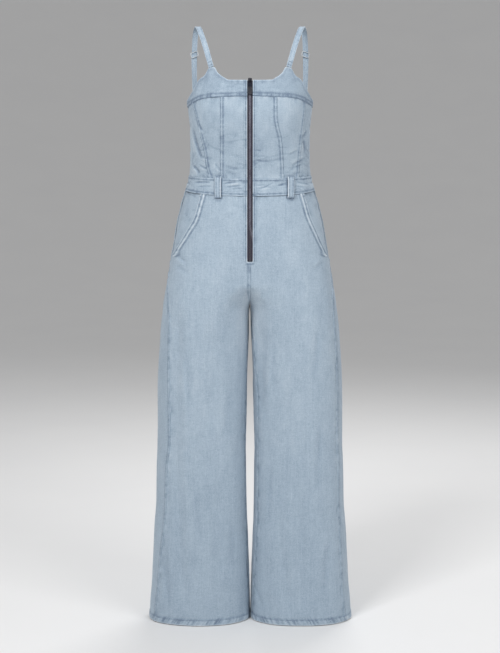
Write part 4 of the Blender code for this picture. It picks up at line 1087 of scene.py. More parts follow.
def loopShadowAndDye(points):
    # painted shadow beside each belt loop, which also stands for the unfaded dye there, and painted shadow
    # under its lower end
    across, depth, height = np.moveaxis(points, -1, 0)
    tone = np.zeros(points.shape[:-1])
    for _, place, face in loopPlaces:
        near = fade((depth * face - 0.01) / 0.02)
        off = np.abs(across - place) - loopShadowLine["half"]
        inside = fade((height - loopShadowLine["low"]) / 0.002) * fade((loopShadowLine["high"] - height) / 0.002)
        under = bump(height - loopShadowLine["under"], 0.0024) * fade((0.0015 - off) / 0.003)
        tone -= near * loopShadowLine["strength"] * (bump(off - 0.0004, 0.0017) * inside + under)
    return tone


waistEdge = {"rise": 0.0003, "width": 0.0070, "stitches": (0.0048,), "pucker": 0.00036, "wave": 0.0050,
             "roping": 0.30, "groove": 1.3, "shade": 0.5, "shadeWidth": 0.0016}
waistSeamEdge = {"sink": 0.0007, "sinkWidth": 0.003, "shade": 0.35, "shadeWidth": 0.002}
waistSettings = {
    "lift": 0.0014, "thickness": 0.0011, "rows": 0.0019, "columns": 0.0024, "depth": 0.040,
    "edges": [dict(waistEdge, edge="low", pale=0.25), dict(waistEdge, edge="top", pale=0.30),
              dict(waistSeamEdge, edge="to")],
}
for node, side, turnFrom, turnTo, width, startEdge in (
        ("waistband_front_left", -1, zipTurn, sideTurn(-seamGap), 0.19, zipEdge),
        ("waistband_front_right", 1, zipTurn, sideTurn(-seamGap), 0.19, zipEdge),
        ("waistband_back", 1, sideTurn(seamGap), sideTurn(halfTurn - seamGap), 0.42,
         dict(waistSeamEdge, edge="from"))):
    grid = panelGrid(gradedShares(waistSettings["depth"], waistSettings["rows"]),
                     gradedShares(width, waistSettings["columns"]), turnFrom, turnTo, waistbandHeight)
    sewPanel(node, side, grid, waistSettings["lift"], waistSettings["thickness"],
             waistSettings["edges"] + [startEdge], "waist", "band", waistCreases, extraTone=loopShadowAndDye)
print("waistband sewn")


def legHeight(level, turn):
    share = (level - levels["legBlend"]) / (levels["legTop"] - levels["legBlend"])
    top = mix(levels["legBlend"], waistSeam("waistBottom", turn) + underlap, share)
    return np.where(level <= levels["legBlend"], level + 0 * turn, top)


# rows that lie closer together near a level, with the gap kept free of other rows
closeRows = {
    "zipBottom": (0.001, inMetres(-4, -2, -1, -0.4, 0, 0.3, 0.6, 1, 1.5, 2.2, 3, 4, 5, 5.8, 7.5)),
    "hem": (0.0006, inMetres(12.3, 13.1, 13.9, 14.7, 15.5, 16.3, 17.5, 19, 21)),
}


def legLevels(*closer):
    # heights of the rows, closest together at the hem, the end of the zip and the waist
    reach = levels["legTop"] - levels["hem"]
    rows = levels["hem"] + gradedShares(reach, legSettings["rows"]) * reach
    for name in closer:
        gap, steps = closeRows[name]
        extra = levels[name] + steps
        rows = rows[(rows < extra[0] - gap) | (rows > extra[-1] + gap)]
        rows = np.sort(np.concatenate([rows, extra]))
    return rows


def zipEndHalf(height):
    # the opening narrows to a rounded end
    rise = np.clip((height - levels["zipBottom"]) / (0.7 * zipHalf), 0.0, 1.0)
    return zipHalf * np.clip(1 - (1 - rise) ** 4, 0.0, 1.0) ** 0.25


def legInnerTurn(word, overlap):
    # zip edge, then the middle seam of the front, then the inside leg seam
    def turn(height):
        past = overlap * fade((height + 0.655) / 0.035) * fade((levels["zipBottom"] - 0.001 - height) / 0.004)
        half = np.where(height > levels["zipBottom"], zipEndHalf(height), 0.0)
        opening = turnAt(height, half + 0.00015 - past)
        return np.where(height > levels["crotch"], opening, inseamTurn(word, height) + seamGap)
    return turn


def frontOuterTurn(word):
    def turn(height):
        pocket = np.minimum(pocketTurn(word, height), quarterTurn - seamGap)
        return np.where(height > levels["pocketEnd"], pocket, outseamTurn(word, height) + edgeTurn(0.001))
    return turn


def backOuterTurn(word, overlap):
    def turn(height):
        past = overlap * mix(0.4, 1.0, fade((levels["pocketEnd"] + 0.02 - height) / 0.03))
        return outseamTurn(word, height) - edgeTurn(past)
    return turn


def backInnerTurn(word):
    def turn(height):
        seat = halfTurn - turnAt(height, 0.00015 + 0 * height)
        return np.where(height > levels["crotch"], seat, 2 * halfTurn + inseamTurn(word, height) - seamGap)
    return turn


def facingTurn(word):
    return lambda height: pocketTurn(word, height) - edgeTurn(facingSettings["past"])


def legPaintedLightAndShade(points):
    # painted light on the fronts of the thighs below the crotch, a pale rim and a dark line round the lower end
    # of the zip, painted shade that darkens the lower legs, and the loops' painted shadows
    across, depth, height = np.moveaxis(points, -1, 0)
    across = np.abs(across)
    thighPaintedLight = bump(across, 0.030) * fade((height + 0.84) / 0.12) * fade((-0.60 - height) / 0.05)
    off = np.maximum(across - zipHalf, levels["zipBottom"] - height)
    end = fade((levels["zipBottom"] + 0.012 - height) / 0.004) * fade((0.012 - across) / 0.004)
    rim = 0.35 * bump(off - 0.0012, 0.0012) - 0.9 * bump(off - 0.0046, 0.0013)
    # painted shade: the lower legs get darker towards the hem
    lower = 0.10 * fade((-0.90 - height) / 0.35)
    return loopShadowAndDye(points) - lower + (0.45 * thighPaintedLight + rim * end) * fade(-depth / 0.02)


hemEdge = {"edge": "low", "rise": 0.0009, "width": 0.0150, "stitches": (0.0134,), "pale": 0.95,
           "paleWidth": 0.0018, "pucker": 0.00070, "wave": 0.0038, "skew": 0.70, "roping": 0.80,
           "puckerAt": 0.0080, "reach": 0.0078, "groove": 0.80, "foot": 0.30}
seamFold = {"rise": 0.0010, "width": 0.0080, "stitches": (0.0012, 0.0070), "pale": 0.35, "pucker": 0.00080,
            "wave": 0.0060, "skew": 0.30, "roping": 0.35, "foot": 0.15, "groove": 0.75, "dash": 0.010}
riseUnder = {"sink": 0.0007, "sinkWidth": 0.004, "turned": False, "shade": 0.35, "shadeWidth": 0.003}
inseamEdge = {"sink": 0.0012, "sinkWidth": 0.0050, "turned": False, "shade": 0.45, "shadeWidth": 0.0030,
              "pucker": 0.00060, "wave": 0.0090, "roping": 0.45, "puckerAt": 0.003, "reach": 0.006,
              "between": (levels["belowHem"], -0.664)}
waistUnder = {"edge": "top", "sink": 0.0003, "sinkWidth": 0.006, "turned": False, "shade": 0.55,
              "shadeWidth": 0.006, "pucker": 0.00050, "wave": 0.0110, "roping": 0.25, "puckerAt": 0.006,
              "reach": 0.010}
riseEnd = levels["zipBottom"] - 0.002
legSettings = {
    "thickness": 0.0009, "hemThickness": 0.0022, "hemDepth": 0.0155, "grain": 0.110, "rows": 0.0052,
    "frontWidth": 0.24, "frontColumns": 0.0024, "backWidth": 0.30, "backColumns": 0.0030, "backOver": 0.0040,
    "frontEdges": [
        hemEdge,
        {"edge": "to", "rise": 0.0009, "width": 0.0150, "stitches": (0.0050, 0.0140), "pale": 0.78,
         "paleWidth": 0.0015, "pucker": 0.00050, "wave": 0.0048, "skew": 0.5, "roping": 0.40, "foot": 0.40,
         "groove": 1.10, "ridge": (0.0096, 0.0017, 0.72), "puckerAt": 0.0060, "reach": 0.0070,
         "between": (levels["pocketEnd"], levels["aboveLegs"])},
        dict(zipEdge, between=(levels["zipBottom"] - 0.001, levels["aboveLegs"])),
        dict(inseamEdge, edge="from"),
        {"edge": "to", "sink": 0.0005, "sinkWidth": 0.005, "turned": False, "shade": 0.35, "shadeWidth": 0.004,
         "pucker": 0.00040, "wave": 0.0110, "roping": 0.35, "puckerAt": 0.004, "reach": 0.006,
         "between": (levels["belowHem"], levels["pocketEnd"])},
        waistUnder,
    ],
    "backEdges": [hemEdge, dict(seamFold, edge="from"), dict(inseamEdge, edge="to"), waistUnder],
    # the left front and back lie over the right ones along the middle seams
    "left": {"over": 0.0025,
             "front": dict(seamFold, edge="from", pucker=0.00035, wave=0.0065, between=(-0.655, riseEnd)),
             "back": dict(seamFold, edge="to", pucker=0.00035, between=(-0.650, levels["aboveLegs"]))},
    "right": {"over": 0.0,
              "front": dict(riseUnder, edge="from", between=(levels["crotch"], riseEnd)),
              "back": dict(riseUnder, edge="to", between=(levels["crotch"], levels["aboveLegs"]))},
}
facingSettings = {
    "bottom": -0.556, "spacing": 0.0040, "width": 0.10, "past": 0.020, "thickness": 0.0009,
    "sunk": (-0.0023, -0.0012), "blend": 0.030,
    "edges": [{"edge": "to", "sink": 0.0004, "turned": False, "shade": 0.15, "shadeWidth": 0.004}, waistUnder],
}
pocketTacks = ((-0.3975, 0.008), (-0.4170, 0.006), (-0.5400, 0.008))  # height and length


def legWall(grid, side):
    # the hem is folded double
    up = runLengths(clothPlace(side, *grid)[0], 0)
    doubled = fade((legSettings["hemDepth"] - up) / 0.001)
    return mix(legSettings["thickness"], legSettings["hemThickness"], doubled)


for side, word in sides:
    middle = legSettings[word]
    grid = panelGrid(legLevels("zipBottom", "hem"),
                     gradedShares(legSettings["frontWidth"], legSettings["frontColumns"]),
                     legInnerTurn(word, middle["over"]), frontOuterTurn(word), legHeight)
    front = sewPanel("leg_front_" + word, side, grid, 0.0, legWall(grid, side),
                     legSettings["frontEdges"] + [middle["front"]], "legs", "legs", legCreases,
                     grain=legSettings["grain"], extraTone=legPaintedLightAndShade)
    grid = panelGrid(legLevels("hem"), gradedShares(legSettings["backWidth"], legSettings["backColumns"]),
                     backOuterTurn(word, legSettings["backOver"]), backInnerTurn(word), legHeight)
    sewPanel("leg_back_" + word, side, grid, 0.0, legWall(grid, side),
             legSettings["backEdges"] + [middle["back"]], "legs", "legs", legCreases,
             grain=legSettings["grain"], extraTone=loopShadowAndDye)

    # facing behind the slant pocket edge, rising to the side seam
    reach = levels["legTop"] - facingSettings["bottom"]
    rows = facingSettings["bottom"] + gradedShares(reach, facingSettings["spacing"]) * reach
    grid = panelGrid(rows, gradedShares(facingSettings["width"], facingSettings["spacing"]), facingTurn(word),
                     sideTurn(-seamGap), legHeight)
    nearSide = fade(1 - (quarterTurn - grid[1]) * 0.15 / facingSettings["blend"])
    sewPanel("pocket_facing_" + word, side, grid, mix(*facingSettings["sunk"], nearSide),
             facingSettings["thickness"], facingSettings["edges"], "legs", "bodice")

    # bar tacks across the end of the zip, and where the pocket edge starts and ends
    points, normals = front["points"], front["normals"]
    if side > 0:
        row = int(np.argmin(np.abs(points[:, 2, 2] - levels["zipBottom"] + 0.0032)))
        barTack("legs", points[row, 0] * np.array([0.0, 1.0, 1.0]), np.array([1.0, 0.0, 0.0]), normals[row, 2],
                0.0100, 0.0024)
    for tackHeight, tackLength in pocketTacks:
        row = int(np.argmin(np.abs(points[:, -3, 2] - tackHeight)))
        inward = unit(points[row, -9] - points[row, -3])
        barTack("legs", points[row, -3] + inward * 0.004, inward, normals[row, -3], tackLength, 0.0022)
print("legs sewn")

loopEdge = {"rise": 0.0005, "width": 0.0036, "stitches": (0.0033,), "groove": 0.9, "paleWidth": 0.0019,
            "pucker": 0.0002, "wave": 0.004, "roping": 0.2}
loopSettings = {
    "width": 0.0140, "top": -0.3495, "bottom": -0.4016, "thickness": 0.0014, "clearance": 0.0041, "gap": 0.0021,
    "rows": 49, "columns": 0.0010, "fine": (0.0003, 0.0007, 0.0012, 0.0018, 0.0024, 0.0032),
    "allowance": 0.002, "tack": (0.0125, 0.0026),
    "edges": [dict(loopEdge, edge="from", pale=0.85), dict(loopEdge, edge="to", pale=0.45),
              {"edge": "top", "shade": 0.9, "shadeWidth": 0.0040},
              {"edge": "low", "shade": 1.0, "shadeWidth": 0.0045}],
}
for node, place, face in loopPlaces:
    side = -1 if place < 0 else 1
    share = np.linspace(0, 1, loopSettings["rows"])[:, None]
    gap = loopSettings["gap"] + loopSettings["clearance"] * (1 - np.abs(2 * share - 1) ** 5)
    offsets = (gradedShares(loopSettings["width"], loopSettings["columns"], loopSettings["fine"]) - 0.5) \
        * loopSettings["width"]
    across = abs(place) + offsets[None, :]
    height = mix(loopSettings["bottom"], loopSettings["top"], share) + 0 * across
    turn = turnAt(height, across)
    turn = turn if face < 0 else halfTurn - turn[:, ::-1]
    loop = sewPanel(node, side, (height, turn), gap + 0 * across, loopSettings["thickness"],
                    loopSettings["edges"], "loops", "strap", allowance=loopSettings["allowance"])
    middle = len(offsets) // 2
    for row in (2, -3):
        crosswise = loop["points"][row, -1] - loop["points"][row, 0]
        barTack("loops", loop["points"][row, middle], crosswise, loop["normals"][row, middle],
                *loopSettings["tack"])
print("belt loops sewn")

strapEdge = {"rise": 0.0003, "width": 0.0030, "stitches": (0.0017,), "pale": 0.55, "groove": 0.5,
             "pucker": 0.00010, "wave": 0.006, "roping": 0.2}
strapSettings = {
    "width": 0.0128, "thickness": 0.0016, "startTwist": math.radians(24), "startShare": 0.30,
    "endTwist": math.radians(38), "endShare": 0.38, "rows": 150, "doublingRows": 60, "slideHeight": -0.0630,
    "columns": 0.0011, "fine": (0.0003, 0.0007, 0.0012, 0.0017, 0.0024, 0.0031), "pressed": 0.9,
    "allowance": (0.002, 0.006), "tack": (0.0110, 0.0022), "tackRows": (3, 7, -4),
    "doublingStart": 0.00095, "doublingGap": 0.0003, "doublingShift": 0.0008,
    "edges": [dict(strapEdge, edge="from"), dict(strapEdge, edge="to")],
    "doublingEdge": {"edge": "low", "pale": 0.4, "rise": 0.0003, "width": 0.003},
}
slideSettings = {
    "halfWidth": 0.0086, "halfLength": 0.0056, "corner": 0.0022, "radius": 0.00105, "barShare": 0.8,
    "upperRail": -0.0020, "lowerRail": -0.0042, "barLift": 0.0017, "tilt": math.radians(24), "sides": 10,
    "shade": 0.9, "shadeOff": 0.0014, "shadeWidth": 0.0016,
}
strapPath = inMetres(
    (90.4, -84.8, -96.8), (92.5, -81.5, -89), (97.5, -71.5, -72), (103, -59, -53), (109, -45, -34.5),
    (115.5, -29, -17), (121, -12, -3.8), (124.3, 2.5, 0), (127.5, 15, -5.5), (130.5, 24.5, -19),
    (132.5, 32.5, -42), (133.6, 38.5, -70), (134, 43, -105), (133.8, 45.5, -135), (133, 46.2, -159),
)
strapLengths = np.concatenate(([0.0], np.cumsum(np.linalg.norm(np.diff(strapPath, axis=0), axis=1))))
strapTotal = float(strapLengths[-1])


def strapPlace(distance):
    return np.stack([smoothAt(distance, strapLengths, strapPath[:, k]) for k in range(3)], axis=-1)


def strapFrame(distance, step=0.0005):
    # place, width, outward and forward directions of the right strap
    forward = unit(strapPlace(np.minimum(distance + step, strapTotal))
                   - strapPlace(np.maximum(distance - step, 0.0)))
    share = distance / strapTotal
    late = strapSettings["endTwist"] * fade((share - 1) / strapSettings["endShare"] + 1)
    angle = strapSettings["startTwist"] * (1 - fade(share / strapSettings["startShare"])) - late
    flat = np.stack([np.cos(angle), np.sin(angle), np.zeros_like(angle)], axis=-1)
    across = unit(flat - forward * np.sum(flat * forward, axis=-1, keepdims=True))
    return strapPlace(distance), across, np.cross(across, forward), forward


def slidePlace():
    # the slide's distance along the strap, on the strap's way down the back
    low, high = strapTotal / 2, strapTotal
    for _ in range(40):
        middle = (low + high) / 2
        low, high = (middle, high) if strapPlace(middle)[2] > strapSettings["slideHeight"] else (low, middle)
    return low


slideAt = slidePlace()


def sewStrap(node, side, start, rows, lift, shift, *extraEdges):
    distance = np.linspace(start, strapTotal, rows + 1)
    place, strapAcross, out, _ = strapFrame(distance)
    width = strapSettings["width"]
    offsets = (gradedShares(width, strapSettings["columns"], strapSettings["fine"]) - 0.5) * width + shift
    flip = np.array([side, 1.0, 1.0])
    base = (place[:, None] + strapAcross[:, None] * offsets[None, :, None] + out[:, None] * lift) * flip
    normals = np.repeat((out * flip)[:, None], len(offsets), axis=1)
    across, up, distances = edgeDistances(base)
    seed = next(seeds)
    edges = strapSettings["edges"] + list(extraEdges)
    relief, tone = workEdges(edges, distances, across, up, base[..., 2], seed, 1)
    relief += 0.0002 * fieldNoise(across, up, 0.008, 0.016, seed)
    tone += 0.10 * fieldNoise(across, up, 0.008, 0.014, seed + 3)
    # painted shade on the strap beside the rails of its slide
    for rail in (-1, 1):  # the strap is dark beside the rails of its slide
        off = distance - slideAt - rail * (slideSettings["halfLength"] + slideSettings["shadeOff"])
        tone -= slideSettings["shade"] * bump(off, slideSettings["shadeWidth"])[:, None]
    points = base + normals * relief[..., None]
    stitchEdges("straps", edges, points, normals, distances, seed)
    thing = shellPiece("cloth_" + node, points, normals, strapSettings["thickness"] * strapSettings["pressed"],
                       np.clip(tone, -1, 1), clothCoordinates(across, up, seed, side), side,
                       ("denim", "denim"))
    fit(thing, node)
    return points, normals


def closedWire(name, path, radius, materialName, count):
    # a round wire bent into a closed loop
    path = np.asarray(path, float)
    ahead = unit(np.roll(path, -1, axis=0) - np.roll(path, 1, axis=0))
    sideways = unit(np.cross(ahead, np.array([0.0, 0.0, 1.0])))
    upward = np.cross(sideways, ahead)
    angles = (2 * math.pi * np.arange(count) / count)[None, :, None]
    points = path[:, None] + radius * (sideways[:, None] * np.cos(angles) + upward[:, None] * np.sin(angles))
    points = points.reshape(-1, 3)
    faces = [tuple(corner % len(points) for corner in face[::-1])
             for face in ringFaces(0, count, len(path) + 1)]
    return meshPiece(name, points, faces, [materialName])


def slideLoop(count=6):
    # the outer wire of a slide, with rounded corners, lower at its lower end
    path = []
    form = slideSettings
    straightX = form["halfWidth"] - form["corner"]
    straightY = form["halfLength"] - form["corner"]
    for first, (x, y) in enumerate(((1, 1), (-1, 1), (-1, -1), (1, -1))):
        for k in range(count + 1):
            angle = (first + k / count) * math.pi / 2
            place = y * straightY + form["corner"] * math.sin(angle)
            lift = mix(form["upperRail"], form["lowerRail"], (place / form["halfLength"] + 1) / 2)
            path.append((x * straightX + form["corner"] * math.cos(angle), place, lift))
    return path


def slideBar():
    # the bent bar that the strap runs over
    half, lift = slideSettings["halfWidth"], slideSettings["barLift"]
    end = (slideSettings["upperRail"] + slideSettings["lowerRail"]) / 2
    bends = [(half, end), (half, 0.0), (half - 0.0004, lift * 0.8), (half - 0.0016, lift)]
    return [(-x, 0.0, z) for x, z in bends] + [(0.0, 0.0, lift)] + [(x, 0.0, z) for x, z in bends[::-1]]


for side, word in sides:
    thick = strapSettings["thickness"]
    points, normals = sewStrap("strap_" + word, side, 0.0, strapSettings["rows"], thick / 2, 0.0)
    sewStrap("strap_doubling_" + word, side, slideAt + strapSettings["doublingStart"],
             strapSettings["doublingRows"], -thick / 2 - strapSettings["doublingGap"],
             strapSettings["doublingShift"], strapSettings["doublingEdge"])
    # the strap is sewn inside the top edge with tacks at each end
    for row in strapSettings["tackRows"]:
        barTack("straps", points[row, points.shape[1] // 2], points[row, -1] - points[row, 0], normals[row, 0],
                *strapSettings["tack"])
    radius = slideSettings["radius"]
    slide = closedWire("slide_" + word, slideLoop(), radius, "slideMetal", slideSettings["sides"])
    bar = curvePiece("slide_bar_" + word, "3D", [slideBar()], "slideMetal",
                     bevel_depth=radius * slideSettings["barShare"], use_fill_caps=True)
    place, across, out, forward = strapFrame(np.array([slideAt]))
    flip = np.array([side, 1.0, 1.0])
    axes = (across[0] * flip * side, forward[0] * flip, out[0] * flip)
    for thing, node in ((slide, "strap_slide_" + word), (bar, None)):
        setPiece(thing, place[0] * flip, axes, Matrix.Rotation(side * slideSettings["tilt"], 4, "Z"))
        fit(thing, node)
print("straps made")

zipSettings = {
    "tapeInner": 0.0007, "tapeOuter": 0.0145, "tapeLift": -0.0021, "tapeThickness": 0.0008, "tapeRows": 160,
    "tapeColumns": 13, "tapeBelow": 0.0120, "cordPlace": 0.0012, "cordWidth": 0.0009, "cordRise": 0.0005,
    "flatWidth": 0.016, "allowance": 0.01, "pitch": 0.00254, "toothLift": -0.0026,
    "slider": -0.1275, "sliderLength": 0.0120, "plate": 0.0011, "frontPlateLift": -0.00045,
    "backPlateLift": -0.00475, "wedgeLift": -0.0026, "wedge": 0.0034, "bridgeLift": 0.0001,
    "bridgeWidth": 0.0020, "pinRise": 0.0015, "tabLength": 0.0340, "tabThickness": 0.0012, "rim": 0.0005,
    "rimLift": 0.0007, "face": 0.00024, "faceLift": 0.00065, "stop": 0.0026, "stopHalf": (0.0028, 0.0017),
}


def zipFrames(heights):
    # place, across, up and outward directions down the middle of the zip
    heights = np.asarray(heights, float)
    points, normals = clothPlace(1, heights, 0 * heights, 0 * heights)
    across = np.tile([1.0, 0.0, 0.0], (len(heights), 1))
    return points, across, np.cross(normals, across), normals


tapeTop = float(smoothAt(0.0032, *topEdge.T)) - 0.0006
tapeBottom = levels["zipBottom"] - zipSettings["tapeBelow"]
for side, word in sides:
    shares = np.linspace(0, 1, zipSettings["tapeColumns"])[None, :]
    offsets = mix(zipSettings["tapeInner"], zipSettings["tapeOuter"], shares)
    heights = np.linspace(tapeBottom, tapeTop, zipSettings["tapeRows"])[:, None] + 0 * offsets
    turn = turnAt(heights, offsets + 0 * heights)
    points, normals = clothPlace(side, heights, turn, zipSettings["tapeLift"] + 0 * turn)
    # corded edge under the teeth
    cordEdge = bump(offsets - zipSettings["cordPlace"], zipSettings["cordWidth"]) + 0 * heights
    points = points + normals * (zipSettings["cordRise"] * cordEdge)[..., None]
    across, up, _ = edgeDistances(points)
    tape = shellPiece("woven_zip_tape_" + word, points, normals, zipSettings["tapeThickness"],
                      np.zeros_like(across), clothCoordinates(across, up, 3 + side), side, ("tape", "tape"))
    fit(tape, "zip_tape_" + word)
    length = round(float(up[-1].mean()) + zipSettings["allowance"], 4)

# one tooth seen from the front, as (across, up) in millimetres: its legs grip the tape, its head locks
toothOutline = ((3.0, -0.50), (1.3, -0.58), (0.5, -0.34), (0.0, -0.60), (-0.6, -0.55), (-0.95, 0.0),
                (-0.6, 0.55), (0.0, 0.60), (0.5, 0.34), (1.3, 0.58), (3.0, 0.50))
toothLayers = ((-1.15, 0.86), (-0.85, 1.0), (0.85, 1.0), (1.15, 0.86))
halfSlide = zipSettings["sliderLength"] / 2
chainTop = zipSettings["slider"] + halfSlide - zipSettings["wedge"] - 0.0006
chainBottom = levels["zipBottom"] + 0.0052
toothCount = int((chainTop - chainBottom) / (zipSettings["pitch"] / 2))
toothHeights = chainBottom + (np.arange(toothCount) + 0.5) * zipSettings["pitch"] / 2
toothPoints = []
toothFaces = []
size = len(toothOutline)
for k, (place, across, up, out) in enumerate(zip(*zipFrames(toothHeights))):
    side = 1 if k % 2 else -1
    start = len(toothPoints)
    for lift, scale in toothLayers:
        for x, y in toothOutline:
            x = (x - 1.0) * scale + 1.0
            toothPoints.append(place + out * zipSettings["toothLift"]
                               + (across * side * x + up * y * scale + out * lift) * millimetre)
    faces = ringFaces(start, size, 4) + [tuple(range(start, start + size))[::-1],
                                         tuple(range(start + 3 * size, start + 4 * size))]
    toothFaces += faces if side > 0 else [face[::-1] for face in faces]
teeth = meshPiece("zip_teeth", np.array(toothPoints), toothFaces, ["zipMetal"])
teeth.data.shade_flat()
fit(teeth, "zip_chain")


def platePiece(name, outlines, thickness, bevel, materialName):
    # a flat plate from closed outlines with softened edges; the first outline is its edge
    return curvePiece(name, "2D", outlines, materialName, fill_mode="BOTH", extrude=thickness / 2 - bevel,
                      bevel_depth=bevel, offset=-bevel)


def roundCorners(corners, radius, count=4):
    # a closed outline with each corner rounded off
    outline = []
    for k, corner in enumerate(corners):
        here = Vector(corner)
        start = here + (Vector(corners[k - 1]) - here).normalized() * radius
        end = here + (Vector(corners[(k + 1) % len(corners)]) - here).normalized() * radius
        for step in range(count + 1):
            t = step / count
            outline.append(tuple(start * (1 - t) ** 2 + here * 2 * t * (1 - t) + end * t * t))
    return outline


def mirrored(half):
    # a whole outline from the right half of it, drawn from its low end up
    return half + [(-x, y) for x, y in half[::-1]]


sliderPlace, sliderAcross, sliderUp, sliderOut = [value[0] for value in zipFrames([zipSettings["slider"]])]


def setOnSlider(thing, out, turned=None, node=None, body="garment"):
    setPiece(thing, sliderPlace + sliderOut * out, (sliderAcross, sliderUp, sliderOut), turned)
    fit(thing, node, body)


plan = roundCorners(mirrored([(0.0034, -halfSlide), (0.0036, -0.0010), (0.0044, 0.0018),
                              (0.0044, halfSlide - 0.0012), (0.0026, halfSlide)]), 0.0009, 3)
wedgePlan = roundCorners(mirrored([(0.0012, 0.0030), (0.0022, halfSlide)]), 0.0006, 3)
reach, rise, bar = 0.0038, 0.0037, 0.0009  # half span, height and wire of the bridge that holds the tab
outer = [(reach, -0.0003), (reach, rise - 0.0010), (reach - 0.0010, rise)]
inner = [(reach - bar, -0.0003), (reach - bar, rise - bar - 0.0005), (reach - bar - 0.0005, rise - bar)]
arch = [(-x, y) for x, y in outer] + outer[::-1] + inner + [(-x, y) for x, y in inner[::-1]]
sideOn = Matrix.Rotation(quarterTurn, 4, "Y")  # outlines drawn from the side turn to stand on the plate
for name, outline, thickness, bevel, materialName, lift, turned, node in (
        ("slider_front_plate", plan, zipSettings["plate"], 0.0003, "sliderMetal", zipSettings["frontPlateLift"],
         None, "zip_slider"),
        ("slider_back_plate", plan, zipSettings["plate"], 0.0003, "sliderMetal", zipSettings["backPlateLift"],
         None, None),
        ("slider_wedge", wedgePlan, zipSettings["wedge"], 0.0002, "tabMetal", zipSettings["wedgeLift"],
         None, None),
        ("slider_bridge", [(-y, x) for x, y in arch], zipSettings["bridgeWidth"], 0.00025, "tabMetal",
         zipSettings["bridgeLift"], sideOn, None)):
    setOnSlider(platePiece(name, [outline], thickness, bevel, materialName), lift, turned, node)

# the pull tab hangs from its pin, with a wide lower part that has a raised rim and face
barHalf, neck, broad, eyeHalf, eyeLow = 0.0006, 0.0037, 0.0052, 0.0020, -0.0062
low, curveHeight = -zipSettings["tabLength"], 0.0045
angles = [math.pi * k / 16 for k in range(17)]
tabEdge = [(-neck, -barHalf), (-neck + 0.0010, barHalf), (neck - 0.0010, barHalf), (neck, -barHalf),
           (neck, eyeLow - 0.0035), (broad, eyeLow - 0.0075)] \
    + [(broad * math.cos(angle), low + curveHeight * (1 - math.sin(angle))) for angle in angles] \
    + [(-broad, eyeLow - 0.0075), (-neck, eyeLow - 0.0035)]
eye = roundCorners(mirrored([(eyeHalf, eyeLow), (eyeHalf, -barHalf)]), 0.0006, 3)
panelHalf, rimHalf = broad - 0.0013, broad - 0.0005
panel = mirrored([(0.0020, low + 0.0018), (panelHalf, low + 0.0042), (panelHalf, -0.0165)])
panel = roundCorners(panel, 0.0010)
rimOuter = mirrored([(0.0024, low + 0.0009), (rimHalf, low + 0.0040), (rimHalf, -0.0152)])
rimOuter = roundCorners(rimOuter, 0.0012)
for name, outlines, thickness, bevel, materialName, lift, node in (
        ("pull_tab_plate", [tabEdge, eye], zipSettings["tabThickness"], 0.0003, "sliderMetal", 0.0,
         "zip_pull_tab"),
        ("pull_tab_rim", [rimOuter, panel], zipSettings["rim"], 0.0001, "tabMetal", zipSettings["rimLift"],
         None),
        ("pull_tab_face", [rimOuter], zipSettings["face"], 0.00005, "tabMetal", zipSettings["faceLift"],
         None)):
    setOnSlider(platePiece(name, outlines, thickness, bevel, materialName), zipSettings["pinRise"] + lift,
                None, node, "pull_tab")

halfWidth, halfHeight = zipSettings["stopHalf"]
stopPlan = roundCorners(mirrored([(halfWidth, -halfHeight), (halfWidth, halfHeight)]), 0.0007, 3)
stop = platePiece("zip_stop", [stopPlan], zipSettings["stop"], 0.0004, "zipMetal")
place, *axes = [value[0] for value in zipFrames([chainBottom - 0.0010 - halfHeight])]
setPiece(stop, place + axes[2] * zipSettings["toothLift"], axes)
fit(stop, "zip_bottom_stop")
print("zip made:", toothCount, "teeth")

sewThreads()

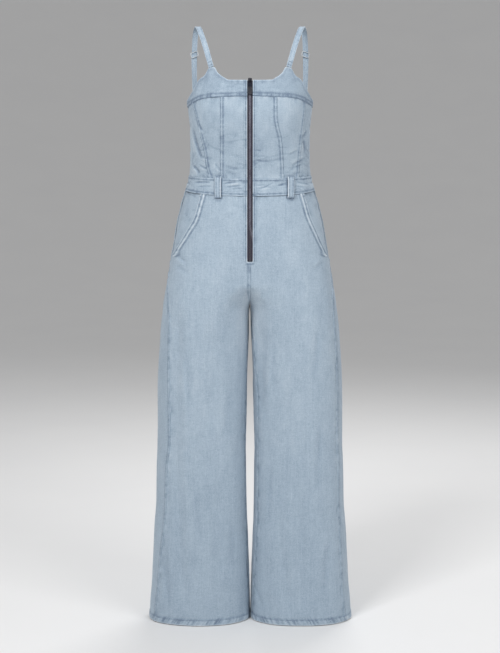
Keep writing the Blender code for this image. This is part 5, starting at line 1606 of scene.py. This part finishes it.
# a flat floor that rises very gently far away, so that it has no horizon line
studio = {"floorHeight": -1.4415, "flatRadius": 5.0, "radius": 16.0, "rise": 0.045, "segments": 96,
          "rings": 24, "white": (1.0, 1.0, 1.0, 1.0), "light": 0.44}
radii = np.concatenate([[0.001], np.linspace(studio["flatRadius"], studio["radius"], studio["rings"])])[:, None]
angles = np.linspace(0, 2 * math.pi, studio["segments"], endpoint=False)
lifts = studio["floorHeight"] + studio["rise"] * np.maximum(radii - studio["flatRadius"], 0.0) ** 2
floorPoints = np.stack([radii * np.cos(angles), radii * np.sin(angles), lifts + 0 * angles], axis=-1)
floorFaces = [face[::-1] for face in ringFaces(0, studio["segments"], len(radii))]
meshPiece("floor", floorPoints.reshape(-1, 3), floorFaces, ["floor"])

world = bpy.data.worlds.new("studio")
bpy.context.scene.world = world
world.use_nodes = True
world.node_tree.nodes["Background"].inputs["Color"].default_value = studio["white"]
world.node_tree.nodes["Background"].inputs["Strength"].default_value = studio["light"]

lamps = (
    # name, place, aimed at, size, watts
    ("key", (-1.2, -2.3, 1.8), (0.0, 0.0, -0.20), 1.0, 66.0),
    ("fill", (1.8, -2.2, 1.3), (0.0, 0.0, -0.20), 1.6, 35.0),
    ("back", (0.6, 2.0, 1.2), (0.0, 0.0, -0.50), 1.6, 38.0),
)
for name, place, aim, size, watts in lamps:
    lamp = bpy.data.lights.new(name, "AREA")
    lamp.size = size
    lamp.energy = watts
    holder = bpy.data.objects.new(name, lamp)
    holder.location = place
    holder.rotation_euler = (Vector(aim) - Vector(place)).to_track_quat("-Z", "Y").to_euler()
    bpy.context.scene.collection.objects.link(holder)

cameraSettings = {"place": (0.0, -4.0, -0.20), "pitch": math.radians(7.365), "lens": 91.52, "sensor": 36.0}
camera = bpy.data.cameras.new("front")
camera.lens = cameraSettings["lens"]
camera.sensor_width = cameraSettings["sensor"]
cameraHolder = bpy.data.objects.new("front", camera)
cameraHolder.location = cameraSettings["place"]
cameraHolder.rotation_euler = (quarterTurn - cameraSettings["pitch"], 0.0, 0.0)
bpy.context.scene.collection.objects.link(cameraHolder)
bpy.context.scene.camera = cameraHolder
bpy.context.scene.view_settings.view_transform = "Standard"
print("studio ready")
